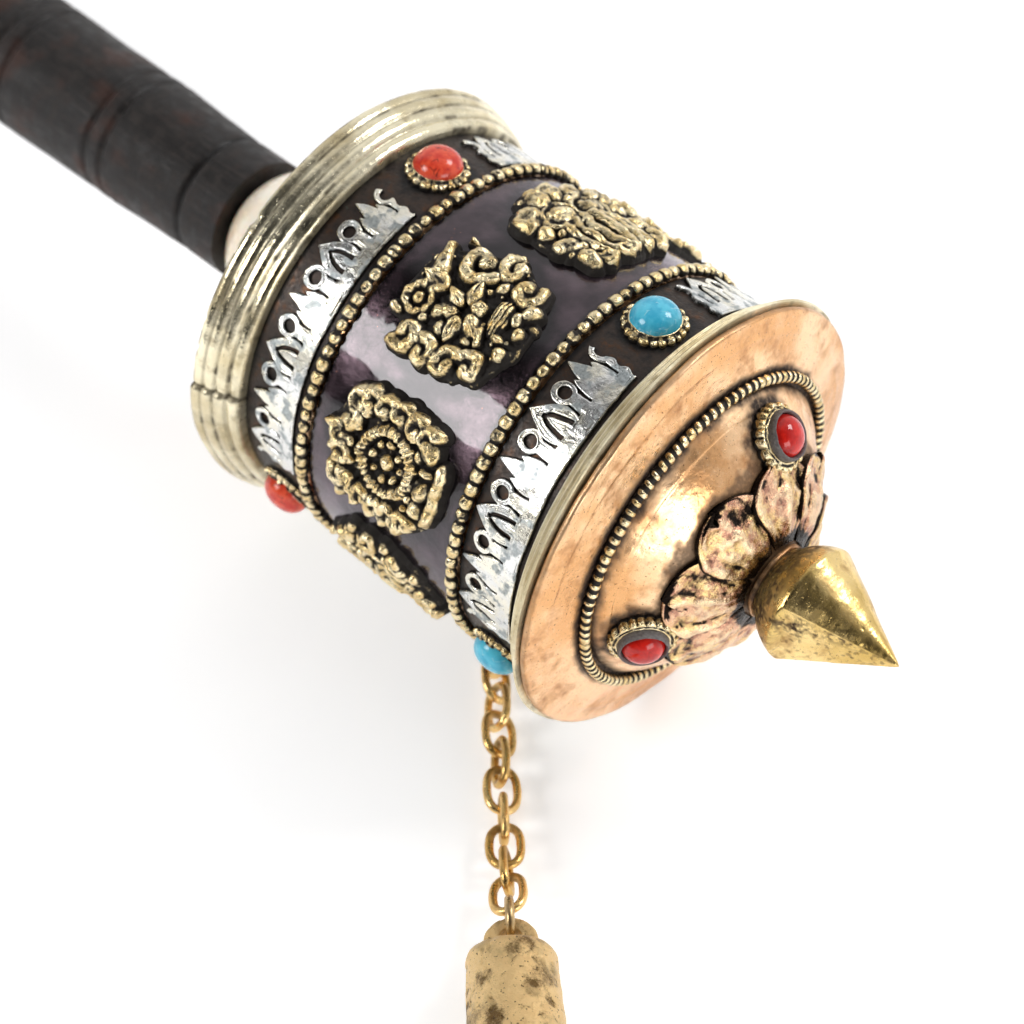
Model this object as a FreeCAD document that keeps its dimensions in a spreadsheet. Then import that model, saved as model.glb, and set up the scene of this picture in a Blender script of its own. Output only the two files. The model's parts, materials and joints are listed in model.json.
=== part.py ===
"""Hand prayer wheel: a turned wooden handle, a steel axle and a drum that spins on it.

Frame: +X runs along the spin axis from the handle's tail to the finial, +Z is up from the
table the wheel lies on, and the origin is the middle of the handle's flat tail face.
Angles round the axis start at +Y and grow towards +Z, so 90 degrees is the top.
Lengths are in millimetres.
"""

import FreeCAD, Part
import math
import os
from types import SimpleNamespace

import Sketcher
from FreeCAD import Placement, Rotation, Vector

SIZES = {
    # clearances
    "running_gap": 0.05,
    "seat_gap": 0.02,
    # handle
    "handle_length": 140.0,
    "handle_edge": 1.5,
    "tail_radius": 12.0,
    "tail_length": 32.0,
    "grip_radius": 12.6,
    "grip_middle": 58.0,
    "tail_land_radius": 12.25,
    "rear_land_radius": 12.2,
    "middle_land_radius": 11.8,
    "front_radius": 11.0,
    "groove_depth": 0.7,
    "groove_half_width": 0.8,
    "groove_spacing": 4.0,
    "tail_groove": 36.0,
    "rear_groove": 81.6,
    "middle_groove": 108.0,
    "front_groove": 131.0,
    # axle, ball collar and thrust washer
    "axle_radius": 2.0,
    "axle_start": 70.0,
    "axle_end": 262.0,
    "ball_radius": 14.6,
    "ball_back": 13.0,
    "ball_front": 11.4,
    "washer_radius": 6.0,
    "washer_thickness": 1.0,
    # drum
    "drum_back": 165.5,
    "shell_radius": 32.4,
    "shell_thickness": 0.8,
    "shell_end": 234.6,
    "floor_thickness": 1.2,
    "bush_radius": 5.0,
    "bush_length": 3.0,
    "band_radius": 32.9,
    "lacquer_radius": 33.0,
    "lower_band_start": 172.1,
    "band_width": 12.1,
    "lacquer_length": 29.9,
    "bead_width": 2.2,
    "bead_seat": 2.4,
    "rim_lip": 1.4,
    "rim_lip_radius": 30.5,
    "rim_ridges": 4,
    "rim_ridge_radius": 1.35,
    "rim_back_radius": 36.8,
    "rim_front_radius": 33.2,
    "rim_swell": 0.8,
    "top_rim_length": 3.6,
    "top_rim_steps": 3,
    "top_rim_start_radius": 34.4,
    "top_rim_end_radius": 37.5,
    "top_rim_step_height": 0.3,
    "top_rim_step_share": 0.7,
    # ornament strips
    "fret_thickness": 0.7,
    "fret_width": 8.1,
    "fret_inset": 3.0,
    "top_fret_width": 10.4,
    "top_fret_inset": 0.3,
    "fret_span": 88.0,
    # stones and bezels on the bands
    "lower_stone_angle": 82.0,
    "upper_stone_angle": 85.0,
    "band_stone_inset": 6.5,
    "top_stone_inset": 5.6,
    "stone_count": 3,
    "bezel_radius": 5.0,
    "bezel_height": 2.0,
    "bezel_wall": 0.7,
    "stone_radius": 3.85,
    "stone_girdle": 1.8,
    "stone_dome_radius": 4.6,
    # medallions
    "medallion_count": 8,
    "medallion_first_angle": 22.5,
    "medallion_height": 3.0,
    "medallion_centre": 202.1,
    # mantra roll
    "core_radius": 5.0,
    "core_bore": 2.6,
    "core_length": 58.5,
    "scroll_start": 169.0,
    "scroll_radius": 29.4,
    "scroll_length": 57.0,
    "tie_width": 6.0,
    "tie_thickness": 0.7,
    "tie_inset": 10.0,
    # lid
    "brim_edge": 235.6,
    "brim_radius": 36.5,
    "brim_roll": 0.75,
    "brim_thickness": 0.8,
    "brim_rise": 2.4,
    "brim_inner_radius": 23.6,
    "skirt_radius": 31.5,
    "skirt_thickness": 0.8,
    "skirt_length": 9.5,
    "skirt_reach": 0.6,
    "rope_radius": 27.0,
    "rope_width": 2.2,
    "dome_centre": 215.2,
    "dome_drop": 4.94,
    "dome_arc": 38.7,
    "dome_thickness": 0.9,
    "dome_foot_angle": 51.9,
    "dome_top_angle": 14.9,
    "lid_stone_angle": 66.0,
    "lid_stone_slope": 41.2,
    "lid_stone_lift": 0.1,
    "lid_bezel_radius": 5.25,
    "lid_bezel_height": 2.2,
    "lid_bezel_foot": 1.3,
    "lid_bezel_wall": 0.9,
    "lid_stone_radius": 3.4,
    "lid_stone_girdle": 2.0,
    "lid_stone_dome_radius": 3.9,
    "lid_bush_length": 6.6,
    "lid_bush_radius": 4.5,
    "petal_count": 8,
    "petal_angle": 27.0,
    "petal_span": 40.0,
    "petal_outer_angle": 31.5,
    "petal_root_angle": 21.0,
    "petal_inner_angle": 17.4,
    "petal_thickness": 1.3,
    "collar_radius": 6.3,
    "collar_thickness": 0.8,
    # finial
    "finial_start": 253.5,
    "finial_neck_radius": 6.0,
    "finial_neck_length": 0.3,
    "finial_bowl_radius": 10.0,
    "finial_ridge": 259.3,
    "finial_radius": 9.6,
    "finial_ridge_width": 0.4,
    "finial_tip": 276.2,
    "finial_tip_radius": 0.35,
    "bore_spare": 0.3,
    # chain
    "wire_radius": 0.75,
    "staple_station": 215.6,
    "staple_angle": 238.0,
    "staple_reach": 36.9,
    "staple_half_width": 1.9,
    "link_half_straight": 1.4,
    "link_half_width": 2.45,
    "link_overlap": 2.35,
    "bow_overlap": 1.65,
    "link_count": 10,
    "chain_heading": -43.9,
    "chain_level": -34.5,
    "first_hang_heading": -115.0,
    "chain_lean": -45.0,
    "link_turn": 98.125,
    "chain_climb": 20.0,
    "ring_radius": 3.1,
    "ring_wire_radius": 0.7,
    "ring_overlap": 1.9,
    "lug_offset": 3.7,
    # weight
    "lug_hole_radius": 1.65,
    "lug_half_width": 4.15,
    "lug_arc": 4.2,
    "lug_thickness": 2.2,
    "weight_shoulder": 1.9,
    "weight_level": -30.3,
    "weight_radius": 7.0,
    "weight_end_radius": 7.5,
    "weight_length": 24.0,
    "weight_round": 2.2,
    "weight_chamfer": 1.1,
}

# The eight cast plates: lobes in the outline, half length along the axis, half width round it.
MEDALLIONS = {
    "medallion_parasol": (7, 13.2, 11.2),
    "medallion_fish": (6, 13.0, 11.2),
    "medallion_lotus": (9, 13.2, 11.2),
    "medallion_wheel": (8, 13.6, 11.3),
    "medallion_vase": (7, 13.4, 10.6),
    "medallion_conch": (6, 11.4, 10.6),
    "medallion_knot": (8, 13.0, 11.2),
    "medallion_banner": (7, 13.4, 10.4),
}
# Where the lobes of an outline meet, as a share of its half sizes.
MEDALLION_WAIST = 0.9
# Radius of a lobe as a share of the chord it stands on.
MEDALLION_LOBE = 0.62
# How far the curved cuts that shape a plate's back and face run past the plate.
CUT_ALONG = 20.0
CUT_OUT = 9.0
# Slopes of the chain's last links, as shares of the steepest.
CLIMB_SHARES = (0.4, 0.7, 1.0)


class Size(float):
    """A number that also carries the sheet formula it comes from."""

    def __new__(cls, number, formula):
        size = super().__new__(cls, number)
        size.formula = formula
        return size

    def __add__(self, other):
        return joined(self, "+", other, float(self) + float(other))

    def __radd__(self, other):
        return joined(other, "+", self, float(other) + float(self))

    def __sub__(self, other):
        return joined(self, "-", other, float(self) - float(other))

    def __rsub__(self, other):
        return joined(other, "-", self, float(other) - float(self))

    def __mul__(self, other):
        return joined(self, "*", other, float(self) * float(other))

    def __rmul__(self, other):
        return joined(other, "*", self, float(other) * float(self))

    def __truediv__(self, other):
        return joined(self, "/", other, float(self) / float(other))

    def __neg__(self):
        return Size(-float(self), f"(0 - {self.formula})")


def formula_of(number):
    return number.formula if isinstance(number, Size) else f"{float(number):.6f}"


def joined(left, sign, right, number):
    return Size(number, f"({formula_of(left)} {sign} {formula_of(right)})")


def root(number):
    return Size(math.sqrt(number), f"sqrt({formula_of(number)})")


def cosine(degrees):
    return Size(math.cos(math.radians(degrees)), f"cos({formula_of(degrees)})")


def sine(degrees):
    return Size(math.sin(math.radians(degrees)), f"sin({formula_of(degrees)})")


def fill_sheet(doc):
    """Puts every driving dimension in the sheet and returns them by name."""
    sheet = doc.addObject("Spreadsheet::Sheet", "Sizes")
    for row, (alias, number) in enumerate(SIZES.items(), 1):
        sheet.set(f"A{row}", alias.replace("_", " "))
        sheet.set(f"B{row}", str(number))
        sheet.setAlias(f"B{row}", alias)
    doc.recompute()
    return SimpleNamespace(**{alias: Size(number, f"Sizes.{alias}") for alias, number in SIZES.items()})


def bind(owner, name, number):
    if isinstance(number, Size):
        owner.setExpression(name, number.formula)


# ---------------------------------------------------------------- sketches and features


def new_body(doc, label):
    body = doc.addObject("PartDesign::Body", label)
    body.Label = label
    body.AllowCompound = True
    return body


def origin_part(body, role):
    return next(part for part in body.Origin.OriginFeatures if part.Role == role)


def new_sketch(body, plane, name):
    sketch = body.newObject("Sketcher::SketchObject", name)
    sketch.AttachmentSupport = [(origin_part(body, plane), "")]
    sketch.MapMode = "FlatFace"
    return sketch


def hold(sketch, kind, geometry, end, number):
    """Fixes one coordinate of a point, on the axis itself when the coordinate is zero."""
    if float(number) == 0.0:
        axis = -2 if kind == "DistanceX" else -1
        sketch.addConstraint(Sketcher.Constraint("PointOnObject", geometry, end, axis))
        return
    constraint = Sketcher.Constraint(kind, -1, 1, geometry, end, float(number))
    index = sketch.addConstraint(constraint)
    bind(sketch, f"Constraints[{index}]", number)


def hold_point(sketch, geometry, end, x, y):
    hold(sketch, "DistanceX", geometry, end, x)
    hold(sketch, "DistanceY", geometry, end, y)


def add_arc(sketch, start, end, radius, side):
    """Arc from start to end bulging left (side 1) or right (side -1); says which end is which."""
    chord = end - start
    rise = math.sqrt(max(float(radius) ** 2 - (chord.Length / 2) ** 2, 0.0))
    left = Vector(-chord.y, chord.x, 0).normalize()
    centre = (start + end) * 0.5 - left * side * rise
    circle = Part.Circle(centre, Vector(0, 0, 1), float(radius))
    first, last = (end, start) if side > 0 else (start, end)
    angles = [math.atan2(point.y - centre.y, point.x - centre.x) for point in (first, last)]
    if angles[1] <= angles[0]:
        angles[1] += 2 * math.pi
    index = sketch.addGeometry(Part.ArcOfCircle(circle, angles[0], angles[1]), False)
    return (index, 2, 1) if side > 0 else (index, 1, 2)


def outline(sketch, corners):
    """Closed profile. A corner is (x, y), or (x, y, radius, side) when an arc leads on from it."""
    points = [Vector(float(corner[0]), float(corner[1]), 0) for corner in corners]
    edges = []
    for k, corner in enumerate(corners):
        following = points[(k + 1) % len(points)]
        if len(corner) == 2:
            edges.append((sketch.addGeometry(Part.LineSegment(points[k], following), False), 1, 2))
            continue
        radius, side = corner[2:]
        edges.append(add_arc(sketch, points[k], following, radius, side))
        index = sketch.addConstraint(Sketcher.Constraint("Radius", edges[-1][0], float(radius)))
        bind(sketch, f"Constraints[{index}]", radius)
    for k, (geometry, first, last) in enumerate(edges):
        before = edges[k - 1]
        sketch.addConstraint(Sketcher.Constraint("Coincident", before[0], before[2], geometry, first))
        hold_point(sketch, geometry, first, corners[k][0], corners[k][1])


def circle(sketch, x, y, radius):
    shape = Part.Circle(Vector(float(x), float(y), 0), Vector(0, 0, 1), float(radius))
    geometry = sketch.addGeometry(shape, False)
    index = sketch.addConstraint(Sketcher.Constraint("Radius", geometry, float(radius)))
    bind(sketch, f"Constraints[{index}]", radius)
    hold_point(sketch, geometry, 3, x, y)


def revolve(body, sketch, axis="H_Axis", kind="Revolution", angle=None):
    turn = body.newObject(f"PartDesign::{kind}", "Turned")
    turn.Profile = (sketch, [""])
    turn.ReferenceAxis = (sketch, [axis])
    turn.Angle = 360 if angle is None else float(angle)
    if angle is not None:
        bind(turn, "Angle", angle)
        turn.Midplane = True
    return turn


def repeat_round_axis(body, feature, count):
    pattern = body.newObject("PartDesign::PolarPattern", "Round_the_axis")
    pattern.Originals = [feature]
    pattern.Axis = (origin_part(body, "X_Axis"), [""])
    pattern.Angle = 360
    pattern.Occurrences = int(count)
    bind(pattern, "Occurrences", count)
    body.Tip = pattern


def turned(doc, label, corners):
    """A piece turned about the spin axis from an outline of (along the axis, radius)."""
    body = new_body(doc, label)
    sketch = new_sketch(body, "XY_Plane", "Profile")
    outline(sketch, corners)
    revolve(body, sketch)
    return body


def tube(doc, label, start, end, inner, outer):
    return turned(doc, label, [(start, inner), (start, outer), (end, outer), (end, inner)])


def torus(doc, label, station, radius, wire_radius):
    ring = doc.addObject("Part::Torus", label)
    ring.Label = label
    bind(ring, "Radius1", radius)
    bind(ring, "Radius2", wire_radius)
    ring.Placement = Placement(Vector(float(station), 0, 0), Rotation(Vector(0, 1, 0), 90))
    return ring


def turn_to(body, angle):
    """Turns a piece built at the top of the drum to its own angle round the axis."""
    body.Placement = Placement(Vector(0, 0, 0), Rotation(Vector(1, 0, 0), float(angle) - 90))


def set_in_ring(doc, label, corners, seat, tilt, first_angle, count):
    """Pieces turned about an axis that stands on a seat (station, radius), repeated round the drum."""
    body = new_body(doc, label)
    sketch = new_sketch(body, "XZ_Plane", "Profile")
    rotation = Rotation(Vector(0, 0, 1), -float(tilt))
    sketch.AttachmentOffset = Placement(Vector(float(seat[0]), float(seat[1]), 0), rotation)
    bind(sketch, "AttachmentOffset.Base.x", seat[0])
    bind(sketch, "AttachmentOffset.Base.y", seat[1])
    outline(sketch, corners)
    repeat_round_axis(body, revolve(body, sketch, "V_Axis"), count)
    turn_to(body, first_angle)
    return body


# ---------------------------------------------------------------- handle and axle


def v_groove(s, station, radius):
    return [
        (station - s.groove_half_width, radius),
        (station, radius - s.groove_depth),
        (station + s.groove_half_width, radius),
    ]


def double_groove(s, station, radius):
    return v_groove(s, station, radius) + v_groove(s, station + s.groove_spacing, radius)


def make_handle(doc, s):
    bore = s.axle_radius + s.seat_gap
    corners = [(0, 0), (0, s.tail_radius - s.handle_edge), (s.handle_edge, s.tail_radius)]
    corners += [(s.tail_length, s.tail_radius)]
    corners += double_groove(s, s.tail_groove, s.tail_land_radius)
    corners += [(s.grip_middle, s.grip_radius)]
    corners += double_groove(s, s.rear_groove, s.rear_land_radius)
    corners += double_groove(s, s.middle_groove, s.middle_land_radius)
    corners += v_groove(s, s.front_groove, s.front_radius + s.seat_gap)
    corners += [(s.handle_length, s.front_radius), (s.handle_length, bore)]
    corners += [(s.axle_start - s.groove_half_width, bore), (s.axle_start - s.groove_half_width, 0)]
    turned(doc, "handle", corners)


def make_axle(doc, s):
    corners = [(s.axle_start, 0), (s.axle_start, s.axle_radius)]
    corners += [(s.axle_end, s.axle_radius), (s.axle_end, 0)]
    turned(doc, "axle", corners)


def make_ball_collar(doc, s):
    centre = s.handle_length + s.ball_back
    bore = s.axle_radius + s.seat_gap
    back_flat = root(s.ball_radius * s.ball_radius - s.ball_back * s.ball_back)
    front_flat = root(s.ball_radius * s.ball_radius - s.ball_front * s.ball_front)
    corners = [(s.handle_length, bore), (s.handle_length, back_flat, s.ball_radius, 1)]
    corners += [(centre + s.ball_front, front_flat), (centre + s.ball_front, bore)]
    turned(doc, "ball_collar", corners)


def make_thrust_washer(doc, s):
    start = s.handle_length + s.ball_back + s.ball_front
    bore = s.axle_radius + s.seat_gap
    tube(doc, "thrust_washer", start, start + s.washer_thickness, bore, s.washer_radius)


# ---------------------------------------------------------------- drum


def lacquer_start(s):
    return s.lower_band_start + s.band_width + s.bead_seat


def upper_band_start(s):
    return lacquer_start(s) + s.lacquer_length + s.bead_seat


def upper_rim_start(s):
    return upper_band_start(s) + s.band_width


def make_drum_tin(doc, s):
    inner = s.shell_radius - s.shell_thickness
    bore = s.axle_radius + s.running_gap
    floor_front = s.drum_back + s.floor_thickness
    tube(doc, "drum_shell", s.drum_back, s.shell_end, inner, s.shell_radius)
    tube(doc, "drum_floor", s.drum_back, floor_front, s.bush_radius + s.seat_gap, inner - s.seat_gap)
    tube(doc, "floor_bush", s.drum_back, s.drum_back + s.bush_length, bore, s.bush_radius)


def make_wraps(doc, s):
    inner = s.shell_radius + s.seat_gap
    starts = {"lower_band": s.lower_band_start, "upper_band": upper_band_start(s)}
    for label, start in starts.items():
        tube(doc, label, start, start + s.band_width, inner, s.band_radius)
    start = lacquer_start(s)
    tube(doc, "lacquer_sheet", start, start + s.lacquer_length, inner, s.lacquer_radius)


def make_bead_wires(doc, s):
    wire = s.bead_width / 2
    radius = s.shell_radius + s.seat_gap + wire
    lower = lacquer_start(s) - s.bead_seat / 2
    upper = upper_band_start(s) - s.bead_seat / 2
    torus(doc, "lower_bead_wire", lower, radius, wire)
    torus(doc, "upper_bead_wire", upper, radius, wire)


def make_lower_rim(doc, s):
    """Four rounded ridges that step down to the band, and a lip that covers the drum's edge."""
    inner = s.shell_radius + s.seat_gap
    back = s.drum_back - s.rim_lip
    ridge = (s.lower_band_start - back) / s.rim_ridges
    fall = (s.rim_back_radius - s.rim_front_radius) / s.rim_ridges
    corners = [(back, s.rim_lip_radius)]
    for k in range(int(s.rim_ridges)):
        share = k / float(s.rim_ridges)
        swell = s.rim_swell * (4 * share * (1 - share))
        corners.append((back + ridge * k, s.rim_back_radius - fall * k + swell, s.rim_ridge_radius, 1))
    corners += [(s.lower_band_start, s.rim_front_radius), (s.lower_band_start, inner)]
    corners += [(s.drum_back - s.seat_gap, inner), (s.drum_back - s.seat_gap, s.rim_lip_radius)]
    turned(doc, "lower_rim", corners)


def make_upper_rim(doc, s):
    """Three fine steps that flare out to the lid."""
    start = upper_rim_start(s)
    step = s.top_rim_length / s.top_rim_steps
    climb = (s.top_rim_end_radius - s.top_rim_start_radius) / s.top_rim_steps
    corners = [(start, s.shell_radius + s.seat_gap)]
    for k in range(int(s.top_rim_steps)):
        foot = s.top_rim_start_radius + climb * k
        corners.append((start + step * k, foot))
        corners.append((start + step * (k + s.top_rim_step_share), foot + climb + s.top_rim_step_height))
    corners += [(start + s.top_rim_length, s.top_rim_end_radius)]
    corners += [(start + s.top_rim_length, s.shell_radius + s.seat_gap)]
    turned(doc, "upper_rim", corners)


def make_fretwork(doc, s, label, start, width, stone_angle):
    """Curved strips that run between the stones of one band."""
    inner = s.band_radius + s.seat_gap
    outer = inner + s.fret_thickness
    end = start + width
    body = new_body(doc, label)
    sketch = new_sketch(body, "XZ_Plane", "Strip_section")
    outline(sketch, [(start, inner), (start, outer), (end, outer), (end, inner)])
    strip = revolve(body, sketch, "H_Axis", angle=s.fret_span)
    repeat_round_axis(body, strip, s.stone_count)
    turn_to(body, stone_angle + 180 / s.stone_count)


def bezel_corners(inner, outer, height, wall):
    return [(inner, 0), (outer, 0), (inner + wall, height), (inner, height)]


def stone_corners(radius, girdle, dome_radius):
    rise = dome_radius - root(dome_radius * dome_radius - radius * radius)
    return [(0, 0), (radius, 0), (radius, girdle, dome_radius, -1), (0, girdle + rise)]


def make_band_stones(doc, s):
    """Bezels and domed stones, three round each band."""
    stations = {
        "lower": (s.lower_band_start + s.band_stone_inset, s.lower_stone_angle, "lower_corals"),
        "upper": (upper_band_start(s) + s.top_stone_inset, s.upper_stone_angle, "turquoise_stones"),
    }
    stone = stone_corners(s.stone_radius, s.stone_girdle, s.stone_dome_radius)
    inner = s.stone_radius + s.seat_gap
    bezel = bezel_corners(inner, s.bezel_radius, s.bezel_height, s.bezel_wall)
    for band, (station, angle, stone_label) in stations.items():
        seat = (station, s.band_radius + s.running_gap)
        set_in_ring(doc, f"{band}_bezels", bezel, seat, 0, angle, s.stone_count)
        set_in_ring(doc, stone_label, stone, seat, 0, angle, s.stone_count)


def lobed_corners(s, lobes, half_length, half_width):
    """A cartouche of outward lobes whose tips touch a box of the given half sizes."""
    corners = []
    for k in range(lobes):
        angle = math.radians(360 * k / lobes)
        following = math.radians(360 * (k + 1) / lobes)
        x = s.medallion_centre + half_length * MEDALLION_WAIST * math.cos(angle)
        y = half_width * MEDALLION_WAIST * math.sin(angle)
        chord_x = half_length * MEDALLION_WAIST * (math.cos(following) - math.cos(angle))
        chord_y = half_width * MEDALLION_WAIST * (math.sin(following) - math.sin(angle))
        corners.append((x, y, MEDALLION_LOBE * math.hypot(chord_x, chord_y), -1))
    return corners


def groove_round_axis(body, name, corners):
    sketch = new_sketch(body, "XZ_Plane", name)
    outline(sketch, corners)
    revolve(body, sketch, "H_Axis", "Groove")


def make_medallion(doc, s, label, position, lobes, half_length, half_width):
    """A lobed pad whose back and face are turned to the drum's curve."""
    back = s.lacquer_radius + s.seat_gap
    face = s.lacquer_radius + s.medallion_height
    start = s.medallion_centre - CUT_ALONG
    end = s.medallion_centre + CUT_ALONG
    beyond = face + CUT_OUT
    body = new_body(doc, label)
    sketch = new_sketch(body, "XY_Plane", "Outline")
    outline(sketch, lobed_corners(s, lobes, half_length, half_width))
    pad = body.newObject("PartDesign::Pad", "Blank")
    pad.Profile = (sketch, [""])
    pad.Length = float(face) + 1
    bind(pad, "Length", face + 1)
    groove_round_axis(body, "Back", [(start, 0), (start, back), (end, back), (end, 0)])
    groove_round_axis(body, "Face", [(start, face), (start, beyond), (end, beyond), (end, face)])
    turn_to(body, s.medallion_first_angle + 360 * position / s.medallion_count)


def make_medallions(doc, s):
    for position, (label, (lobes, half_length, half_width)) in enumerate(MEDALLIONS.items()):
        make_medallion(doc, s, label, position, lobes, half_length, half_width)


# ---------------------------------------------------------------- mantra roll


def make_scroll(doc, s):
    """The rolled paper on its core, held by two cloth ties. The paper carries no text."""
    start = s.scroll_start + s.seat_gap
    end = start + s.scroll_length
    tube(doc, "scroll_core", start, start + s.core_length, s.core_bore, s.core_radius)
    tube(doc, "paper_scroll", start, end, s.core_radius + s.seat_gap, s.scroll_radius)
    inner = s.scroll_radius + s.seat_gap
    body = new_body(doc, "scroll_ties")
    sketch = new_sketch(body, "XY_Plane", "Tie_sections")
    for first in (start + s.tie_inset, end - s.tie_inset - s.tie_width):
        last = first + s.tie_width
        outline(sketch, [(first, inner), (first, inner + s.tie_thickness),
                         (last, inner + s.tie_thickness), (last, inner)])
    revolve(body, sketch)


# ---------------------------------------------------------------- lid


def on_dome(s, angle, lift):
    """A point at a slope angle on the dome's outer arc, lifted off it."""
    reach = s.dome_arc + lift
    return (s.dome_centre + reach * cosine(angle), reach * sine(angle) - s.dome_drop)


def make_lid_brim(doc, s):
    """A shallow copper cone with a rolled edge, that ends in the flat the dome stands on."""
    roll = s.brim_roll
    seat = s.brim_edge + s.brim_rise
    cone_end = s.rope_radius + s.rope_width / 2
    edge = roll + s.running_gap
    corners = [(s.brim_edge - roll, s.brim_radius, edge, 1), (s.brim_edge + roll, s.brim_radius)]
    corners += [(seat, cone_end), (seat, s.brim_inner_radius)]
    corners += [(seat - s.brim_thickness, s.brim_inner_radius), (seat - s.brim_thickness, cone_end)]
    corners += [(s.brim_edge, s.brim_radius - roll)]
    turned(doc, "lid_brim", corners)


def make_lid_skirt(doc, s):
    """The tube inside the lid that locates it in the drum's mouth."""
    end = s.brim_edge + s.skirt_reach
    start = end - s.skirt_length
    tube(doc, "lid_skirt", start, end, s.skirt_radius - s.skirt_thickness, s.skirt_radius)


def make_lid_dome(doc, s):
    inner_lift = -s.dome_thickness
    foot = on_dome(s, s.dome_foot_angle, 0)
    top = on_dome(s, s.dome_top_angle, 0)
    seat = s.brim_edge + s.brim_rise
    inner_foot = on_dome(s, s.dome_foot_angle, inner_lift)
    inner_top = on_dome(s, s.dome_top_angle, inner_lift)
    corners = [(seat, foot[1]), (foot[0], foot[1], s.dome_arc, 1), top]
    corners += [(inner_top[0], inner_top[1], s.dome_arc - s.dome_thickness, -1), inner_foot]
    corners += [(seat, inner_foot[1])]
    turned(doc, "lid_dome", corners)


def make_lid_neck(doc, s):
    bore = s.axle_radius + s.running_gap
    start = s.finial_start - s.collar_thickness - s.running_gap
    tube(doc, "neck_collar", start, start + s.collar_thickness, bore, s.collar_radius)
    tube(doc, "lid_bush", start - s.lid_bush_length, start, bore, s.lid_bush_radius)


def make_rope_ring(doc, s):
    wire = s.rope_width / 2
    torus(doc, "rope_ring", s.brim_edge + s.brim_rise + s.seat_gap + wire, s.rope_radius, wire)


def make_lotus_rosette(doc, s):
    """A ring of petals that fits the top of the dome."""
    lift = s.running_gap
    top = lift + s.petal_thickness
    spots = (s.petal_inner_angle, s.petal_root_angle, s.petal_outer_angle)
    inner, middle, outer = [(on_dome(s, spot, lift), on_dome(s, spot, top)) for spot in spots]
    body = new_body(doc, "lotus_rosette")
    ring = new_sketch(body, "XZ_Plane", "Root_ring")
    outline(ring, [(*inner[0], s.dome_arc + lift, -1), middle[0],
                   (*middle[1], s.dome_arc + top, 1), inner[1]])
    revolve(body, ring)
    petal = new_sketch(body, "XZ_Plane", "Petal")
    outline(petal, [(*middle[0], s.dome_arc + lift, -1), outer[0],
                    (*outer[1], s.dome_arc + top, 1), middle[1]])
    repeat_round_axis(body, revolve(body, petal, "H_Axis", angle=s.petal_span), s.petal_count)
    turn_to(body, s.petal_angle)


def make_lid_stones(doc, s):
    """Three corals on the dome, each in a fluted bezel with a ring of setting pitch."""
    seat = on_dome(s, s.lid_stone_slope, s.lid_stone_lift)
    tilt = 90 - s.lid_stone_slope
    wall_inner = s.lid_bezel_radius - s.lid_bezel_foot
    stone_inner = s.lid_stone_radius + s.seat_gap
    bezel = bezel_corners(wall_inner, s.lid_bezel_radius, s.lid_bezel_height, s.lid_bezel_wall)
    pitch = [(stone_inner, 0), (wall_inner - s.seat_gap, 0)]
    pitch += [(wall_inner - s.seat_gap, s.lid_stone_girdle), (stone_inner, s.lid_stone_girdle)]
    stone = stone_corners(s.lid_stone_radius, s.lid_stone_girdle, s.lid_stone_dome_radius)
    for label, corners in (("lid_bezels", bezel), ("lid_pitch_rings", pitch), ("lid_corals", stone)):
        set_in_ring(doc, label, corners, seat, tilt, s.lid_stone_angle, s.stone_count)


# ---------------------------------------------------------------- finial


def make_finial(doc, s):
    """A cone on a rounded bowl, bored for the axle's end."""
    bore = s.axle_radius + s.running_gap
    neck_end = s.finial_start + s.finial_neck_length
    cone_start = s.finial_ridge + s.finial_ridge_width
    corners = [(s.finial_start, bore), (s.finial_start, s.finial_neck_radius)]
    corners += [(neck_end, s.finial_neck_radius, s.finial_bowl_radius, 1), (s.finial_ridge, s.finial_radius)]
    corners += [(cone_start, s.finial_radius)]
    corners += [(s.finial_tip - s.finial_tip_radius, s.finial_tip_radius), (s.finial_tip, 0)]
    corners += [(s.axle_end + s.bore_spare, 0), (s.axle_end + s.bore_spare, bore)]
    turned(doc, "finial", corners)


# ---------------------------------------------------------------- chain and weight


def add_wire(body, path, section, edges):
    wire = body.newObject("PartDesign::AdditivePipe", "Wire")
    wire.Profile = (section, [""])
    wire.Spine = (path, [f"Edge{k}" for k in range(1, edges + 1)])


def line_and_arc_path(sketch, corners):
    """Lines and half circles joined smoothly. A corner is (x, y) or (x, y, side) before a half circle."""
    edges = []
    for k, corner in enumerate(corners[:-1]):
        start = Vector(float(corner[0]), float(corner[1]), 0)
        end = Vector(float(corners[k + 1][0]), float(corners[k + 1][1]), 0)
        if len(corner) == 2:
            edges.append((sketch.addGeometry(Part.LineSegment(start, end), False), 1, 2))
        else:
            edges.append(add_arc(sketch, start, end, (end - start).Length / 2, corner[2]))
    for k, (geometry, first, last) in enumerate(edges):
        if k:
            before = edges[k - 1]
            sketch.addConstraint(
                Sketcher.Constraint("Tangent", before[0], before[2], geometry, first)
            )
        arc_leads_in = k > 0 and len(corners[k - 1]) == 3
        hold(sketch, "DistanceX", geometry, first, corners[k][0])
        if not arc_leads_in:
            hold(sketch, "DistanceY", geometry, first, corners[k][1])
    last_edge = edges[-1]
    hold_point(sketch, last_edge[0], last_edge[2], corners[-1][0], corners[-1][1])


def make_link(doc, s, label, placement):
    """An oval link of round wire, its length along its own X and flat in its own XY plane."""
    a = s.link_half_straight
    w = s.link_half_width
    body = new_body(doc, label)
    path = new_sketch(body, "XY_Plane", "Path")
    line_and_arc_path(path, [(0, w), (-a, w, -1), (-a, -w), (a, -w, -1), (a, w), (0, w)])
    section = new_sketch(body, "YZ_Plane", "Section")
    circle(section, w, 0, s.wire_radius)
    add_wire(body, path, section, 5)
    body.Placement = placement


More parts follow.
